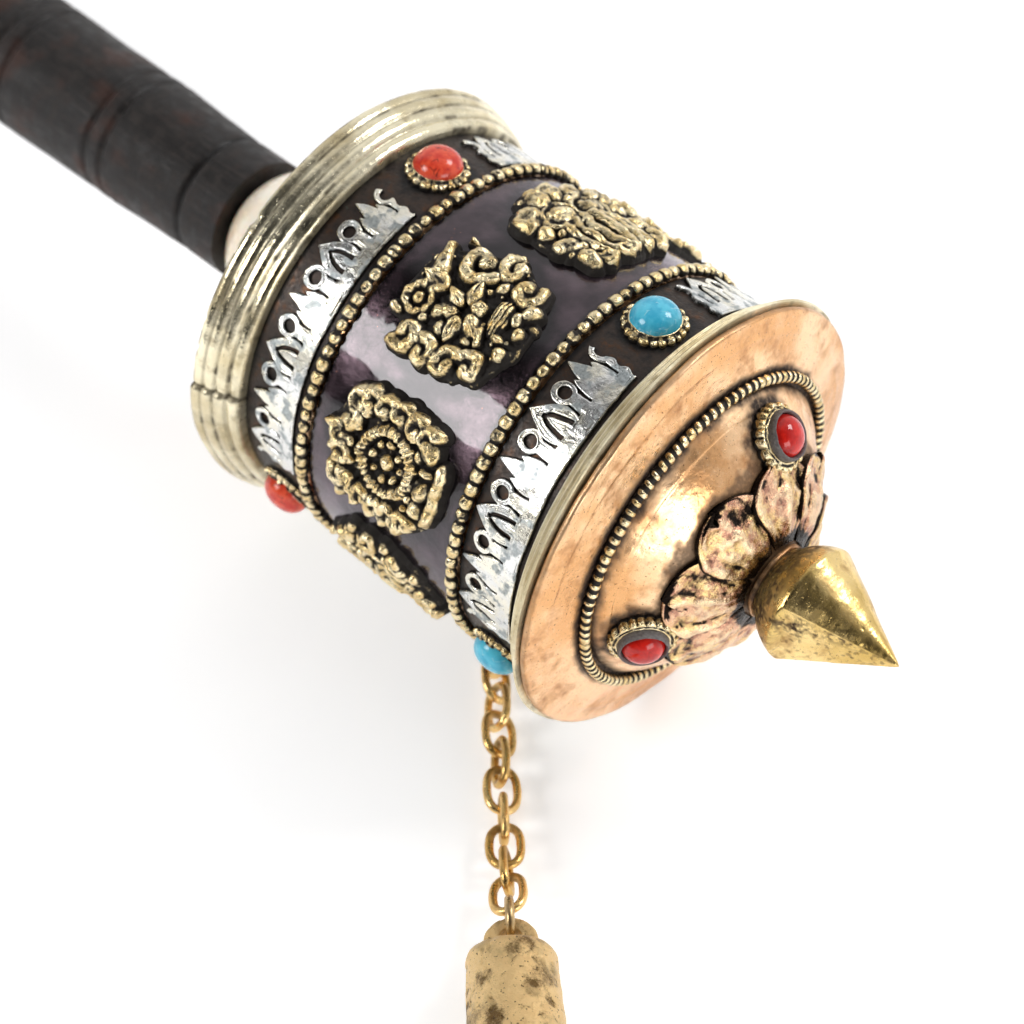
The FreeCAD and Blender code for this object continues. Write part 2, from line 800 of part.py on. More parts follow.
def make_staple(doc, s):
    """A wire bow soldered to the drum, for the chain's first link."""
    w = s.staple_half_width
    foot = s.lacquer_radius + s.seat_gap
    crown = s.staple_reach - w
    body = new_body(doc, "chain_staple")
    path = new_sketch(body, "YZ_Plane", "Path")
    line_and_arc_path(path, [(-w, foot), (-w, crown, 1), (w, crown), (w, foot)])
    section = new_sketch(body, "XY_Plane", "Section")
    section.AttachmentOffset = Placement(Vector(0, 0, float(foot)), Rotation())
    bind(section, "AttachmentOffset.Base.z", foot)
    circle(section, 0, -w, s.wire_radius)
    add_wire(body, path, section, 3)
    turn = Rotation(Vector(1, 0, 0), float(s.staple_angle) - 90)
    body.Placement = Placement(Vector(float(s.staple_station), 0, 0), turn)


def heading(azimuth, rise):
    flat = math.cos(math.radians(rise))
    turn = math.radians(azimuth)
    return Vector(flat * math.cos(turn), flat * math.sin(turn), math.sin(math.radians(rise)))


def link_placement(centre, direction, facing):
    """Length along direction, with the link's flat side turned to face the given way."""
    side = facing.cross(direction).normalize()
    return Placement(centre, Rotation(direction, side, direction.cross(side), "XYZ"))


def chain_rises(s):
    """The slopes of the links after the first: most lie flat, and the last three climb to the lug."""
    flat_links = int(s.link_count) - 1 - len(CLIMB_SHARES)
    return [0.0] * flat_links + [share * float(s.chain_climb) for share in CLIMB_SHARES]


def chain_run(s):
    """Centre and direction of every link, stepping from the staple's bow to the lug."""
    half = float(s.link_half_straight + s.link_half_width)
    overlap = float(s.link_overlap)
    bow_overlap = float(s.bow_overlap)
    turn = math.radians(float(s.staple_angle))
    reach = float(s.staple_reach)
    bow = Vector(float(s.staple_station), reach * math.cos(turn), reach * math.sin(turn))
    drop = float(s.chain_level) - bow.z
    hang = 2 * half - bow_overlap - overlap
    rise = math.degrees(math.asin(drop / hang))
    direction = heading(float(s.first_hang_heading), rise)
    centre = bow + direction * (half - bow_overlap)
    run = [(centre, direction)]
    for slope in chain_rises(s):
        near_wire = centre + direction * (half - overlap)
        direction = heading(float(s.chain_heading), slope)
        centre = near_wire + direction * half
        run.append((centre, direction))
    return run


def make_chain(doc, s):
    """The first link lies as flat as it can, and each of the rest is turned from the one before."""
    up = Vector(0, 0, 1)
    for number, (centre, direction) in enumerate(chain_run(s), 1):
        lean = float(s.chain_lean + s.link_turn * (number - 2)) if number > 1 else 0.0
        facing = Rotation(direction, lean).multVec(up)
        make_link(doc, s, f"chain_link_{number}", link_placement(centre, direction, facing))


def ring_centre(s):
    centre, direction = chain_run(s)[-1]
    half = float(s.link_half_straight + s.link_half_width)
    flat = heading(float(s.chain_heading), 0)
    return centre + direction * (half - float(s.ring_overlap)) + flat * float(s.ring_radius)


def make_jump_ring(doc, s):
    """A round ring standing on edge, through the last link and the weight's lug."""
    ring = doc.addObject("Part::Torus", "jump_ring")
    ring.Label = "jump_ring"
    bind(ring, "Radius1", s.ring_radius)
    bind(ring, "Radius2", s.ring_wire_radius)
    side = heading(float(s.chain_heading) + 90, 0)
    ring.Placement = Placement(ring_centre(s), Rotation(Vector(0, 0, 1), side))


def make_weight(doc, s):
    """A cast weight on its side. Its own origin is the middle of the lug's hole."""
    shoulder = s.weight_shoulder
    end = shoulder + s.weight_length
    r = s.weight_radius
    body = new_body(doc, "chain_weight")
    profile = new_sketch(body, "XY_Plane", "Profile")
    soft = s.weight_round
    bevel = s.weight_chamfer
    corners = [(shoulder, 0), (shoulder, r - soft, soft, 1), (shoulder + soft, r)]
    corners += [(end - bevel, s.weight_end_radius), (end, s.weight_end_radius - bevel), (end, 0)]
    outline(profile, corners)
    revolve(body, profile)
    lug = new_sketch(body, "XY_Plane", "Lug")
    width = s.lug_half_width
    outline(lug, [(shoulder + soft, width), (0, width, s.lug_arc, -1), (0, -width),
                  (shoulder + soft, -width)])
    circle(lug, 0, 0, s.lug_hole_radius)
    pad = body.newObject("PartDesign::Pad", "Lug_plate")
    pad.Profile = (lug, [""])
    pad.Midplane = True
    bind(pad, "Length", s.lug_thickness)
    flat = heading(float(s.chain_heading), 0)
    place = ring_centre(s) + flat * float(s.lug_offset)
    place.z = float(s.weight_level)
    body.Placement = Placement(place, Rotation(Vector(1, 0, 0), flat))


# ---------------------------------------------------------------- whole model


def make_drum(doc, s):
    make_drum_tin(doc, s)
    make_wraps(doc, s)
    make_bead_wires(doc, s)
    make_lower_rim(doc, s)
    make_upper_rim(doc, s)
    lower_fret_start = s.lower_band_start + s.fret_inset
    upper_fret_start = upper_band_start(s) + s.top_fret_inset
    make_fretwork(doc, s, "lower_fretwork", lower_fret_start, s.fret_width, s.lower_stone_angle)
    make_fretwork(doc, s, "upper_fretwork", upper_fret_start, s.top_fret_width, s.upper_stone_angle)
    make_band_stones(doc, s)
    make_medallions(doc, s)
    make_staple(doc, s)


def make_lid(doc, s):
    make_lid_brim(doc, s)
    make_lid_skirt(doc, s)
    make_lid_dome(doc, s)
    make_lid_neck(doc, s)
    make_rope_ring(doc, s)
    make_lotus_rosette(doc, s)
    make_lid_stones(doc, s)


def sub_parts(doc):
    kinds = ("PartDesign::Body", "Part::Torus")
    return [item for item in doc.Objects if item.TypeId in kinds]


def check(doc):
    """Stops before anything is written if an object failed or a sub-part has no valid solid."""
    problems = []
    for item in doc.Objects:
        if {"Invalid", "Error"} & set(item.State):
            owner = item.getParentGeoFeatureGroup()
            problems.append(f"{item.Label} of {owner.Label if owner else 'the document'} failed")
    for item in sub_parts(doc):
        if item.Shape.isNull() or not item.Shape.isValid() or not item.Shape.Solids:
            problems.append(f"{item.Label} has no valid solid")
    if problems:
        raise RuntimeError("; ".join(problems))


def main():
    doc = FreeCAD.newDocument("prayer_wheel")
    s = fill_sheet(doc)
    make_handle(doc, s)
    make_axle(doc, s)
    make_ball_collar(doc, s)
    make_thrust_washer(doc, s)
    make_drum(doc, s)
    make_scroll(doc, s)
    make_lid(doc, s)
    make_finial(doc, s)
    make_chain(doc, s)
    make_jump_ring(doc, s)
    make_weight(doc, s)
    doc.recompute()
    check(doc)
    os.makedirs("parts", exist_ok=True)
    for item in sub_parts(doc):
        item.Shape.exportStep(os.path.join("parts", f"{item.Label}.step"))
        print(f"{item.Label}: {len(item.Shape.Solids)} solid(s), {item.Shape.Volume:.1f} mm3")


main()
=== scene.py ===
"""Looks of the hand prayer wheel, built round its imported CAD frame.

Lengths in this script are millimetres in the frame's own axes: x runs along the spin axis to the
finial, and angles go round that axis from +Y towards +Z. MM turns millimetres into metres.
"""
import json
import math
import bpy
import numpy as np
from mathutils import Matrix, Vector

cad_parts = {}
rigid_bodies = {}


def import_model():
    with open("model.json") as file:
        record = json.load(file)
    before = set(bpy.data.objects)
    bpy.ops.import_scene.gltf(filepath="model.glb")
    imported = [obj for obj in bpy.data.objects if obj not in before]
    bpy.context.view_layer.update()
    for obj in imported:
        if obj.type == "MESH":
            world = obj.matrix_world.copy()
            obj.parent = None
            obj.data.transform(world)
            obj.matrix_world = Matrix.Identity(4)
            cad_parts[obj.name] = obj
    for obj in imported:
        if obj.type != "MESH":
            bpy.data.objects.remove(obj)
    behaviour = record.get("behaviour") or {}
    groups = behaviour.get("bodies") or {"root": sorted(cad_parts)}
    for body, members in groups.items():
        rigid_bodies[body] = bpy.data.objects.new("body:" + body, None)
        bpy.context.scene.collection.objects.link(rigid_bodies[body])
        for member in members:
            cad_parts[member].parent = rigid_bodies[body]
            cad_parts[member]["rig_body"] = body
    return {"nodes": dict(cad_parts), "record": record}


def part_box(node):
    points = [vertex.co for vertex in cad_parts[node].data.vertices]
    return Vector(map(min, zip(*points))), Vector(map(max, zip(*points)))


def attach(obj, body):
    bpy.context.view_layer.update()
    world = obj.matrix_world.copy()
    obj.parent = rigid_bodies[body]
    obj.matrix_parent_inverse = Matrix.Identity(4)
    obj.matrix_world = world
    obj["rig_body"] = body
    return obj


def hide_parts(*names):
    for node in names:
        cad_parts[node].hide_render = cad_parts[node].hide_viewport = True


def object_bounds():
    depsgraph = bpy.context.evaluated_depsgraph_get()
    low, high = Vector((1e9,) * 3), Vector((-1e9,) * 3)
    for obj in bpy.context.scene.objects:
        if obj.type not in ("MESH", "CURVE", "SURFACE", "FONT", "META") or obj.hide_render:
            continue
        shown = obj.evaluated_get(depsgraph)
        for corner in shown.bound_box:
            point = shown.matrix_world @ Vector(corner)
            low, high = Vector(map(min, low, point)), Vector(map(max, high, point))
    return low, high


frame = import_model()
CAD_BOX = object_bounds()
MM = 0.001
TURN = 2 * math.pi
NODES = frame["nodes"]
SLOT_OF = {part["node"]: part["material_slot"] for part in frame["record"]["subparts"]}


# ---------------------------------------------------------------- reading the frame


def node_points(node):
    mesh = NODES[node].data
    flat = np.empty(len(mesh.vertices) * 3)
    mesh.vertices.foreach_get("co", flat)
    return flat.reshape(-1, 3) / MM


def stations(node):
    """First station, last station and largest radius of a turned piece."""
    points = node_points(node)
    radius = np.hypot(points[:, 1], points[:, 2])
    return points[:, 0].min(), points[:, 0].max(), radius.max()


def inner_radius(node):
    points = node_points(node)
    return np.hypot(points[:, 1], points[:, 2]).min()


def outer_line(node):
    """The outside of a turned piece as (station, radius) points, from the edges that pass each station."""
    mesh = NODES[node].data
    points = node_points(node)
    x, radius = points[:, 0], radius_of(points)
    a, b = np.array([edge.vertices[:] for edge in mesh.edges]).T
    line = []
    for station in np.unique(np.round(x / 0.02)) * 0.02:
        passing = (x[a] - station) * (x[b] - station) < 0
        share = (station - x[a[passing]]) / (x[b[passing]] - x[a[passing]])
        crossed = radius[a[passing]] + share * (radius[b[passing]] - radius[a[passing]])
        here = radius[np.abs(x - station) < 0.011]
        line.append((station, max(here.max(), crossed.max(initial=0))))
    return np.array(line)


def islands(node):
    """The separate solids of a node, each as an array of its points."""
    mesh = NODES[node].data
    points = node_points(node)
    place = {}
    owner = [place.setdefault(tuple(np.round(point, 3)), k) for k, point in enumerate(points)]
    parent = list(range(len(points)))

    def root(k):
        while parent[k] != k:
            parent[k] = parent[parent[k]]
            k = parent[k]
        return k

    for edge in mesh.edges:
        a, b = (root(owner[v]) for v in edge.vertices)
        parent[a] = b
    labels = np.array([root(owner[k]) for k in range(len(points))])
    return [points[labels == label] for label in np.unique(labels)]


def angle_of(points):
    centre = points.mean(axis=0)
    return math.atan2(centre[2], centre[1])


def standing_axis(points):
    """Foot, outward direction, height and radius of a short round solid that stands on a surface."""
    low, high = points.min(axis=0), points.max(axis=0)
    centre = (low + high) / 2
    spread = np.cov((points - points.mean(axis=0)).T)
    values, vectors = np.linalg.eigh(spread)
    odd = np.argmax(np.abs(values - np.median(values)))
    axis = vectors[:, odd]
    outward = np.array([0.0, centre[1], centre[2]])
    axis = axis if axis @ outward > 0 else -axis
    along = (points - centre) @ axis
    across = np.linalg.norm((points - centre) - along[:, None] * axis, axis=1)
    return centre + axis * along.min(), axis, np.ptp(along), across.max()


# ---------------------------------------------------------------- noise


def lattice(cells, seed):
    """A repeatable value from -1 to 1 for each whole-number grid point."""
    mixed = cells[..., 0] * 374761393 + cells[..., 1] * 668265263 + cells[..., 2] * 1442695041
    mixed = (mixed + seed * 974634777) & 0xFFFFFFFF
    mixed = ((mixed ^ (mixed >> 13)) * 1274126177) & 0xFFFFFFFF
    return ((mixed ^ (mixed >> 16)) & 0xFFFF) / 32767.5 - 1.0


def noise(points, size, seed=0):
    """Smooth noise from -1 to 1 with features about `size` across."""
    scaled = points / size
    cell = np.floor(scaled).astype(np.int64)
    part = scaled - cell
    part = part * part * (3 - 2 * part)
    total = np.zeros(points.shape[:-1])
    for corner in np.ndindex(2, 2, 2):
        weight = np.ones_like(total)
        for k in range(3):
            weight = weight * (part[..., k] if corner[k] else 1 - part[..., k])
        total += weight * lattice(cell + np.array(corner), seed)
    return total


def rough(points, size, seed=0, octaves=3):
    total = np.zeros(points.shape[:-1])
    for k in range(octaves):
        total += noise(points, size / 2**k, seed + 7 * k) / 2**k
    return total


def ease(low, high, value):
    share = np.clip((value - low) / (high - low), 0, 1)
    return share * share * (3 - 2 * share)


def hump(value, width):
    """A smooth bump, 1 at zero and nearly 0 from twice the width on."""
    return np.exp(-(value / width) ** 2)


# ---------------------------------------------------------------- meshes


def linked(name, data):
    """A new object in the scene."""
    made = bpy.data.objects.new(name, data)
    bpy.context.scene.collection.objects.link(made)
    return made


def add_piece(name, points, faces, node, values=None, sharp=None):
    """A mesh piece that stands for a CAD node and takes its body and finish."""
    mesh = bpy.data.meshes.new(name)
    mesh.from_pydata((np.asarray(points).reshape(-1, 3) * MM).tolist(), [], faces)
    mesh.shade_smooth()
    if sharp:
        mesh.set_sharp_from_angle(angle=math.radians(sharp))
    for key, value in (values or {}).items():
        attribute = mesh.attributes.new(key, "FLOAT", "POINT")
        attribute.data.foreach_set("value", np.asarray(value, np.float32).ravel())
    piece = linked(name, mesh)
    slot = SLOT_OF[node]
    mesh.materials.append(finish_of(slot))
    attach(piece, NODES[node]["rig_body"])
    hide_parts(node)


def grid_faces(rows, columns, close_rows=False, close_columns=True):
    r = np.arange(rows if close_rows else rows - 1)[:, None]
    c = np.arange(columns if close_columns else columns - 1)[None, :]
    after_r, after_c = (r + 1) % rows, (c + 1) % columns
    corners = [r * columns + c, r * columns + after_c, after_r * columns + after_c, after_r * columns + c]
    return np.stack(corners, -1).reshape(-1, 4).tolist()


def resample(line, step, soften=0, closed=False):
    """Evenly spaced points along a line, with its corners softened."""
    line = np.asarray(line, float)
    if closed:
        line = np.vstack([line, line[:1]])
    run = np.concatenate([[0], np.cumsum(np.linalg.norm(np.diff(line, axis=0), axis=1))])
    count = max(int(round(run[-1] / step)), 2)
    spots = np.linspace(0, run[-1], count + 1)
    made = np.stack([np.interp(spots, run, line[:, k]) for k in range(line.shape[1])], -1)
    if closed:
        made = made[:-1]
    for _ in range(soften):
        before, after = np.roll(made, 1, axis=0), np.roll(made, -1, axis=0)
        if not closed:
            before[0], after[-1] = made[0], made[-1]
        made = made / 2 + (before + after) / 4
    return made


def round_turn(steps):
    """Evenly spaced angles of a full turn."""
    return np.linspace(0, TURN, steps, endpoint=False)


def about_axis(station, radius, angle):
    """Points at a station of the spin axis, a radius out from it and an angle round it."""
    return np.stack(np.broadcast_arrays(station, radius * np.cos(angle), radius * np.sin(angle)), -1)


def flat_points(across, up, level):
    """Points of a flat grid at one level; also the places where a grid's noise is read."""
    return np.stack([across, up, np.full_like(across, level)], -1)


def shift_out(points, amount):
    """Moves points away from the spin axis."""
    radius = np.maximum(np.hypot(points[..., 1], points[..., 2]), 1e-6)
    scale = 1 + amount / radius
    return np.stack([points[..., 0], points[..., 1] * scale, points[..., 2] * scale], -1)


def shift_along(points, amount):
    """Moves points along the spin axis."""
    return points + np.stack([amount, amount * 0, amount * 0], -1)


def ripple(points, size, seed, depth):
    """Moves points by the same noise on all three axes."""
    return points + rough(points, size, seed)[..., None] * depth


def turned_piece(name, node, line, steps, change, sharp, paint=None):
    """A closed section turned about the spin axis.

    change(points) gives the moved points, and paint(points) the values painted on them.
    """
    points = change(about_axis(line[:, :1], line[:, 1:2], round_turn(steps)))
    faces = grid_faces(len(line), steps, close_rows=True)
    add_piece(name, points, faces, node, paint(points) if paint else None, sharp)


def radius_of(points):
    return np.hypot(points[..., 1], points[..., 2])


def turn_of(points):
    return np.arctan2(points[..., 2], points[..., 1])


def away(angle, centre):
    """Signed angle from centre, between half a turn each way."""
    return (angle - centre + math.pi) % TURN - math.pi


def frame_at(foot, axis):
    """Matrix that stands local +Z on the axis at the foot, with local +X kept close to the spin axis."""
    z = axis / np.linalg.norm(axis)
    x = np.array([1.0, 0, 0]) - z[0] * z
    x /= np.linalg.norm(x)
    return np.column_stack([x, np.cross(z, x), z]), foot


def placed(points, at):
    """Local points put where frame_at stands them."""
    matrix, foot = at
    return points @ matrix.T + foot


def about_z(radius, height, angle):
    """Local points a radius out from local Z, at a height."""
    return np.stack(np.broadcast_arrays(radius * np.cos(angle), radius * np.sin(angle), height), -1)


def spun(line, steps):
    """Local points of (radius, height) turned about local Z."""
    return about_z(line[:, :1], line[:, 1:2], round_turn(steps))


# ---------------------------------------------------------------- finishes

FINISHES = {}


def dimmed(colour, share):
    return tuple(value * share for value in colour)


class Finish:
    """A node material. Texture coordinates are the frame's own millimetres."""

    def __init__(self, name):
        self.material = bpy.data.materials.new(name)
        self.material.use_nodes = True
        self.tree = self.material.node_tree
        self.surface = self.tree.nodes["Principled BSDF"]
        self.place = self.node("ShaderNodeTexCoord").outputs["Object"]

    def node(self, kind, inputs=None, **settings):
        made = self.tree.nodes.new(kind)
        for key, value in settings.items():
            setattr(made, key, value)
        for key, value in (inputs or {}).items():
            self.feed(made.inputs[key], value)
        return made

    def feed(self, socket, value):
        if isinstance(value, bpy.types.NodeSocket):
            self.tree.links.new(value, socket)
        elif socket.type == "RGBA" and len(value) == 3:
            socket.default_value = (*value, 1)
        else:
            socket.default_value = value

    def stretched(self, x, y, z):
        scale = (x / MM, y / MM, z / MM)
        return self.node("ShaderNodeMapping", {"Vector": self.place, "Scale": scale}).outputs[0]

    def lathe(self, fine, coarse):
        """Coordinates for marks that run round the spin axis: fine along and out, coarse round it."""
        parts = self.node("ShaderNodeSeparateXYZ", {"Vector": self.stretched(1, 1, 1)})
        x, y, z = parts.outputs
        out = self.math("SQRT", self.plus(self.times(y, y), self.times(z, z)))
        joined = self.node("ShaderNodeCombineXYZ", {
            "X": self.times(self.plus(x, out), fine),
            "Y": self.times(y, coarse),
            "Z": self.times(z, coarse),
        })
        return joined.outputs[0]

    def noise(self, size, detail=4.0, where=None, roughness=0.55):
        """Noise with features about `size` mm across, from 0 to 1."""
        vector = where or self.stretched(1, 1, 1)
        made = self.node("ShaderNodeTexNoise", {
            "Vector": vector, "Scale": 1.0 / size, "Detail": detail, "Roughness": roughness})
        return made.outputs["Fac"]

    def cell_walls(self, size):
        """Distance from the walls between cells about `size` mm across."""
        inputs = {"Vector": self.stretched(1, 1, 1), "Scale": 1.0 / size}
        return self.node("ShaderNodeTexVoronoi", inputs, feature="DISTANCE_TO_EDGE").outputs["Distance"]

    def math(self, operation, a, b=0.0):
        made = self.node("ShaderNodeMath", operation=operation)
        self.feed(made.inputs[0], a)
        if len(made.inputs) > 1:
            self.feed(made.inputs[1], b)
        return made.outputs[0]

    def times(self, a, b):
        return self.math("MULTIPLY", a, b)

    def plus(self, a, b):
        return self.math("ADD", a, b)

    def minus(self, a, b):
        return self.math("SUBTRACT", a, b)

    def level(self, value, low, high, start=0.0, end=1.0):
        """Maps low..high to start..end, smoothly and clamped."""
        made = self.node("ShaderNodeMapRange", {
            "Value": value, "From Min": low, "From Max": high, "To Min": start, "To Max": end},
            interpolation_type="SMOOTHSTEP")
        return made.outputs["Result"]

    def colours(self, value, *stops):
        """A colour ramp from (position, colour) stops."""
        ramp = self.node("ShaderNodeValToRGB", {"Fac": value})
        elements = ramp.color_ramp.elements
        while len(elements) < len(stops):
            elements.new(0.5)
        for element, (position, colour) in zip(elements, stops):
            element.position = position
            element.color = (*colour, 1)
        return ramp.outputs["Color"]

    def mix(self, share, a, b):
        made = self.node("ShaderNodeMix", data_type="RGBA")
        self.feed(made.inputs[0], share)
        self.feed(made.inputs[6], a)
        self.feed(made.inputs[7], b)
        return made.outputs[2]

    def painted(self, key):
        """A value painted on the mesh when it was built: wear, dirt and painted shade."""
        return self.node("ShaderNodeAttribute", attribute_name=key).outputs["Fac"]

    def wear_and_shade_by(self, grit, share):
        """The painted wear and painted shade, broken up by grit."""
        return self.plus(self.painted("wear_and_shade"), self.times(self.minus(grit, 0.5), share))

    def bump(self, height, depth, before=None):
        """Bump whose height value of 1 stands `depth` mm proud."""
        inputs = {"Height": height, "Distance": depth * MM, "Strength": 1.0}
        if before is not None:
            inputs["Normal"] = before
        return self.node("ShaderNodeBump", inputs).outputs["Normal"]

    def finish(self, colour, roughness, metallic=0.0, normal=None, **more):
        inputs = {"Base Color": colour, "Roughness": roughness, "Metallic": metallic}
        if normal is not None:
            inputs["Normal"] = normal
        inputs.update({key.replace("_", " "): value for key, value in more.items()})
        for key, value in inputs.items():
            self.feed(self.surface.inputs[key], value)
        return self.material


def finish_of(slot):
    if slot not in FINISHES:
        FINISHES[slot] = MAKERS[slot](Finish(slot))
    return FINISHES[slot]


def stained_wood(f):
    grain = f.noise(0.5, 6, f.stretched(0.06, 1, 1))
    mottle = f.noise(9, 5)
    marks = f.noise(0.22, 3, f.lathe(1, 0.03))
    blotch = f.noise(2.6, 5, roughness=0.65)
    base = f.colours(grain, (0.3, (0.004, 0.003, 0.003)), (0.55, (0.014, 0.011, 0.010)),
                     (0.8, (0.042, 0.032, 0.028)))
    base = f.mix(f.level(blotch, 0.48, 0.66, 0, 0.55), base, (0.045, 0.036, 0.032))
    red = f.mix(f.level(mottle, 0.5, 0.68, 0, 0.65), base, (0.055, 0.020, 0.012))
    # Near black where shade is painted in the handle's grooves.
    dark = f.mix(f.painted("grime"), red, (0.003, 0.002, 0.002))
    height = f.plus(f.times(grain, 0.7), marks)
    gloss = f.level(blotch, 0.35, 0.65, 0.42, 0.66)
    normal = f.bump(height, 0.14, f.bump(blotch, 0.10))
    return f.finish(dark, gloss, 0, normal, Specular_IOR_Level=0.34)


def bone(f):
    cloud = f.noise(7, 3)
    colour = f.colours(cloud, (0.35, (0.94, 0.76, 0.55)), (0.65, (0.97, 0.88, 0.73)))
    streak = f.noise(1.2, 4, f.stretched(0.2, 1, 1))
    colour = f.mix(f.level(streak, 0.6, 0.8, 0, 0.25), colour, (0.58, 0.38, 0.20))
    return f.finish(colour, f.level(streak, 0.3, 0.7, 0.18, 0.3), 0, f.bump(streak, 0.02),
                    Subsurface_Weight=0.2, Subsurface_Radius=(0.004, 0.002, 0.001),
                    Coat_Weight=0.5, Coat_Roughness=0.08)


def steel(f):
    marks = f.noise(0.15, 3, f.lathe(1, 0.02))
    cloud = f.noise(4, 4)
    colour = f.colours(cloud, (0.3, (0.30, 0.28, 0.26)), (0.7, (0.60, 0.60, 0.60)))
    return f.finish(colour, f.level(cloud, 0.3, 0.7, 0.22, 0.42), 1, f.bump(marks, 0.03))


def brass(f, bright, deep, tarnish, pits, rough, depth):
    """Polished brass: broad tone changes, tarnish in clouds, darkening under the painted dirt and painted
    shade, fine pits and scratches.
    """
    broad = f.noise(11, 4)
    cloud = f.noise(3.2, 6, roughness=0.65)
    speck = f.noise(0.42, 3)
    scratch = f.noise(0.16, 3, f.lathe(1, 0.04))
    colour = f.mix(f.level(broad, 0.35, 0.65), deep, bright)
    colour = f.mix(f.level(cloud, 0.5, 0.78, 0, 0.75), colour, tarnish)
    dots = f.level(speck, 0.66, 0.74, 0, pits)
    colour = f.mix(dots, colour, dimmed(tarnish, 0.2))
    # Painted dirt and painted shade, such as in the rims' valleys and inside the chain links, darken the
    # colour, dull the shine and take away some metal.
    grime = f.times(f.painted("grime"), f.level(cloud, 0.2, 0.6, 0.5, 1))
    colour = f.mix(grime, colour, dimmed(tarnish, 0.15))
    gloss = f.plus(f.level(cloud, 0.35, 0.75, *rough), f.times(grime, 0.35))
    brushed = f.painted("brushed")
    gloss = f.plus(gloss, f.times(brushed, 0.22))
    height = f.minus(f.times(scratch, 0.25), dots)
    normal = f.bump(height, depth, f.bump(f.noise(2.2, 3), 0.12))
    metal = f.minus(1.0, f.times(grime, 0.6))
    return f.finish(colour, gloss, f.minus(metal, f.times(brushed, 0.45)), normal)


def yellow_brass(f):
    return brass(f, (0.89, 0.66, 0.29), (0.62, 0.42, 0.13), (0.30, 0.15, 0.05), 0.9, (0.16, 0.36), 0.09)


def white_brass(f):
    return brass(f, (0.90, 0.82, 0.60), (0.60, 0.50, 0.30), (0.30, 0.22, 0.10), 0.5, (0.14, 0.32), 0.06)


def chain_gold(f):
    return brass(f, (0.88, 0.60, 0.25), (0.62, 0.38, 0.12), (0.26, 0.14, 0.05), 0.5, (0.24, 0.42), 0.03)


def dark_steel(f):
    return brass(f, (0.66, 0.47, 0.23), (0.30, 0.20, 0.10), (0.10, 0.07, 0.05), 0.5, (0.24, 0.42), 0.03)


def copper(f):
    broad = f.noise(13, 4)
    cloud = f.noise(4.5, 6, roughness=0.62)
    fine = f.noise(0.7, 4)
    speck = f.noise(0.34, 2)
    brushed = f.noise(0.13, 3, f.lathe(1, 0.05))
    colour = f.mix(f.level(broad, 0.38, 0.62), (0.76, 0.41, 0.18), (0.98, 0.65, 0.38))
    colour = f.mix(f.level(cloud, 0.50, 0.68, 0, 0.7), colour, (0.50, 0.24, 0.10))
    colour = f.mix(f.level(cloud, 0.64, 0.78, 0, 0.75), colour, (0.27, 0.11, 0.05))
    colour = f.mix(f.level(fine, 0.55, 0.8, 0, 0.3), colour, (0.95, 0.70, 0.48))
    dots = f.level(speck, 0.66, 0.74, 0, 0.85)
    colour = f.mix(dots, colour, (0.13, 0.055, 0.025))
    # Near black under the painted dirt and painted shade, such as the painted shadow at the dome's foot
    # inside the rope ring.
    grime = f.times(f.painted("grime"), f.level(fine, 0.25, 0.55, 0.75, 1))
    colour = f.mix(grime, colour, (0.035, 0.02, 0.013))
    gloss = f.plus(f.level(cloud, 0.3, 0.7, 0.17, 0.36), f.times(grime, 0.4))
    height = f.minus(f.times(brushed, 0.25), f.times(dots, 0.8))
    normal = f.bump(height, 0.08, f.bump(f.noise(3.4, 3), 0.20))
    return f.finish(colour, gloss, f.minus(1.0, f.times(grime, 0.8)), normal)


def dark_copper(f):
    cloud = f.noise(2.6, 6, roughness=0.65)
    fine = f.noise(0.5, 4)
    colour = f.colours(cloud, (0.34, (0.014, 0.011, 0.010)), (0.56, (0.050, 0.034, 0.026)),
                       (0.74, (0.13, 0.062, 0.033)), (0.86, (0.26, 0.11, 0.05)))
    green = f.times(f.level(f.noise(1.7, 3), 0.66, 0.78, 0, 0.6), f.level(fine, 0.5, 0.6))
    colour = f.mix(green, colour, (0.07, 0.26, 0.20))
    colour = f.mix(f.painted("grime"), colour, (0.006, 0.005, 0.005))
    metal = f.level(cloud, 0.45, 0.75, 0.5, 0.95)
    return f.finish(colour, f.level(fine, 0.3, 0.7, 0.3, 0.55), metal,
                    f.bump(fine, 0.06, f.bump(cloud, 0.12)))


def aubergine_lacquer(f):
    peel = f.noise(0.45, 4, roughness=0.7)
    wave = f.noise(2.4, 4)
    cloud = f.noise(6, 5)
    colour = f.colours(cloud, (0.36, (0.030, 0.020, 0.023)), (0.64, (0.100, 0.072, 0.080)))
    chip = f.times(f.level(f.noise(0.62, 2), 0.735, 0.76), f.level(f.noise(7, 2), 0.42, 0.55))
    colour = f.mix(chip, colour, (0.70, 0.33, 0.20))
    dust = f.level(f.noise(0.3, 2), 0.66, 0.76, 0, 0.55)
    colour = f.mix(dust, colour, (0.012, 0.009, 0.010))
    # Near black where shade is painted, along the sheet's edges and round each medallion.
    colour = f.mix(f.painted("grime"), colour, (0.004, 0.003, 0.003))
    height = f.minus(f.minus(peel, chip), f.times(dust, 0.7))
    normal = f.bump(height, 0.07, f.bump(wave, 0.22))
    return f.finish(colour, f.level(peel, 0.3, 0.7, 0.10, 0.22), 0.85, normal,
                    Coat_Weight=0.9, Coat_Roughness=0.05, Coat_Tint=(0.90, 0.84, 0.90, 1),
                    Specular_Tint=(0.90, 0.84, 0.92, 1))


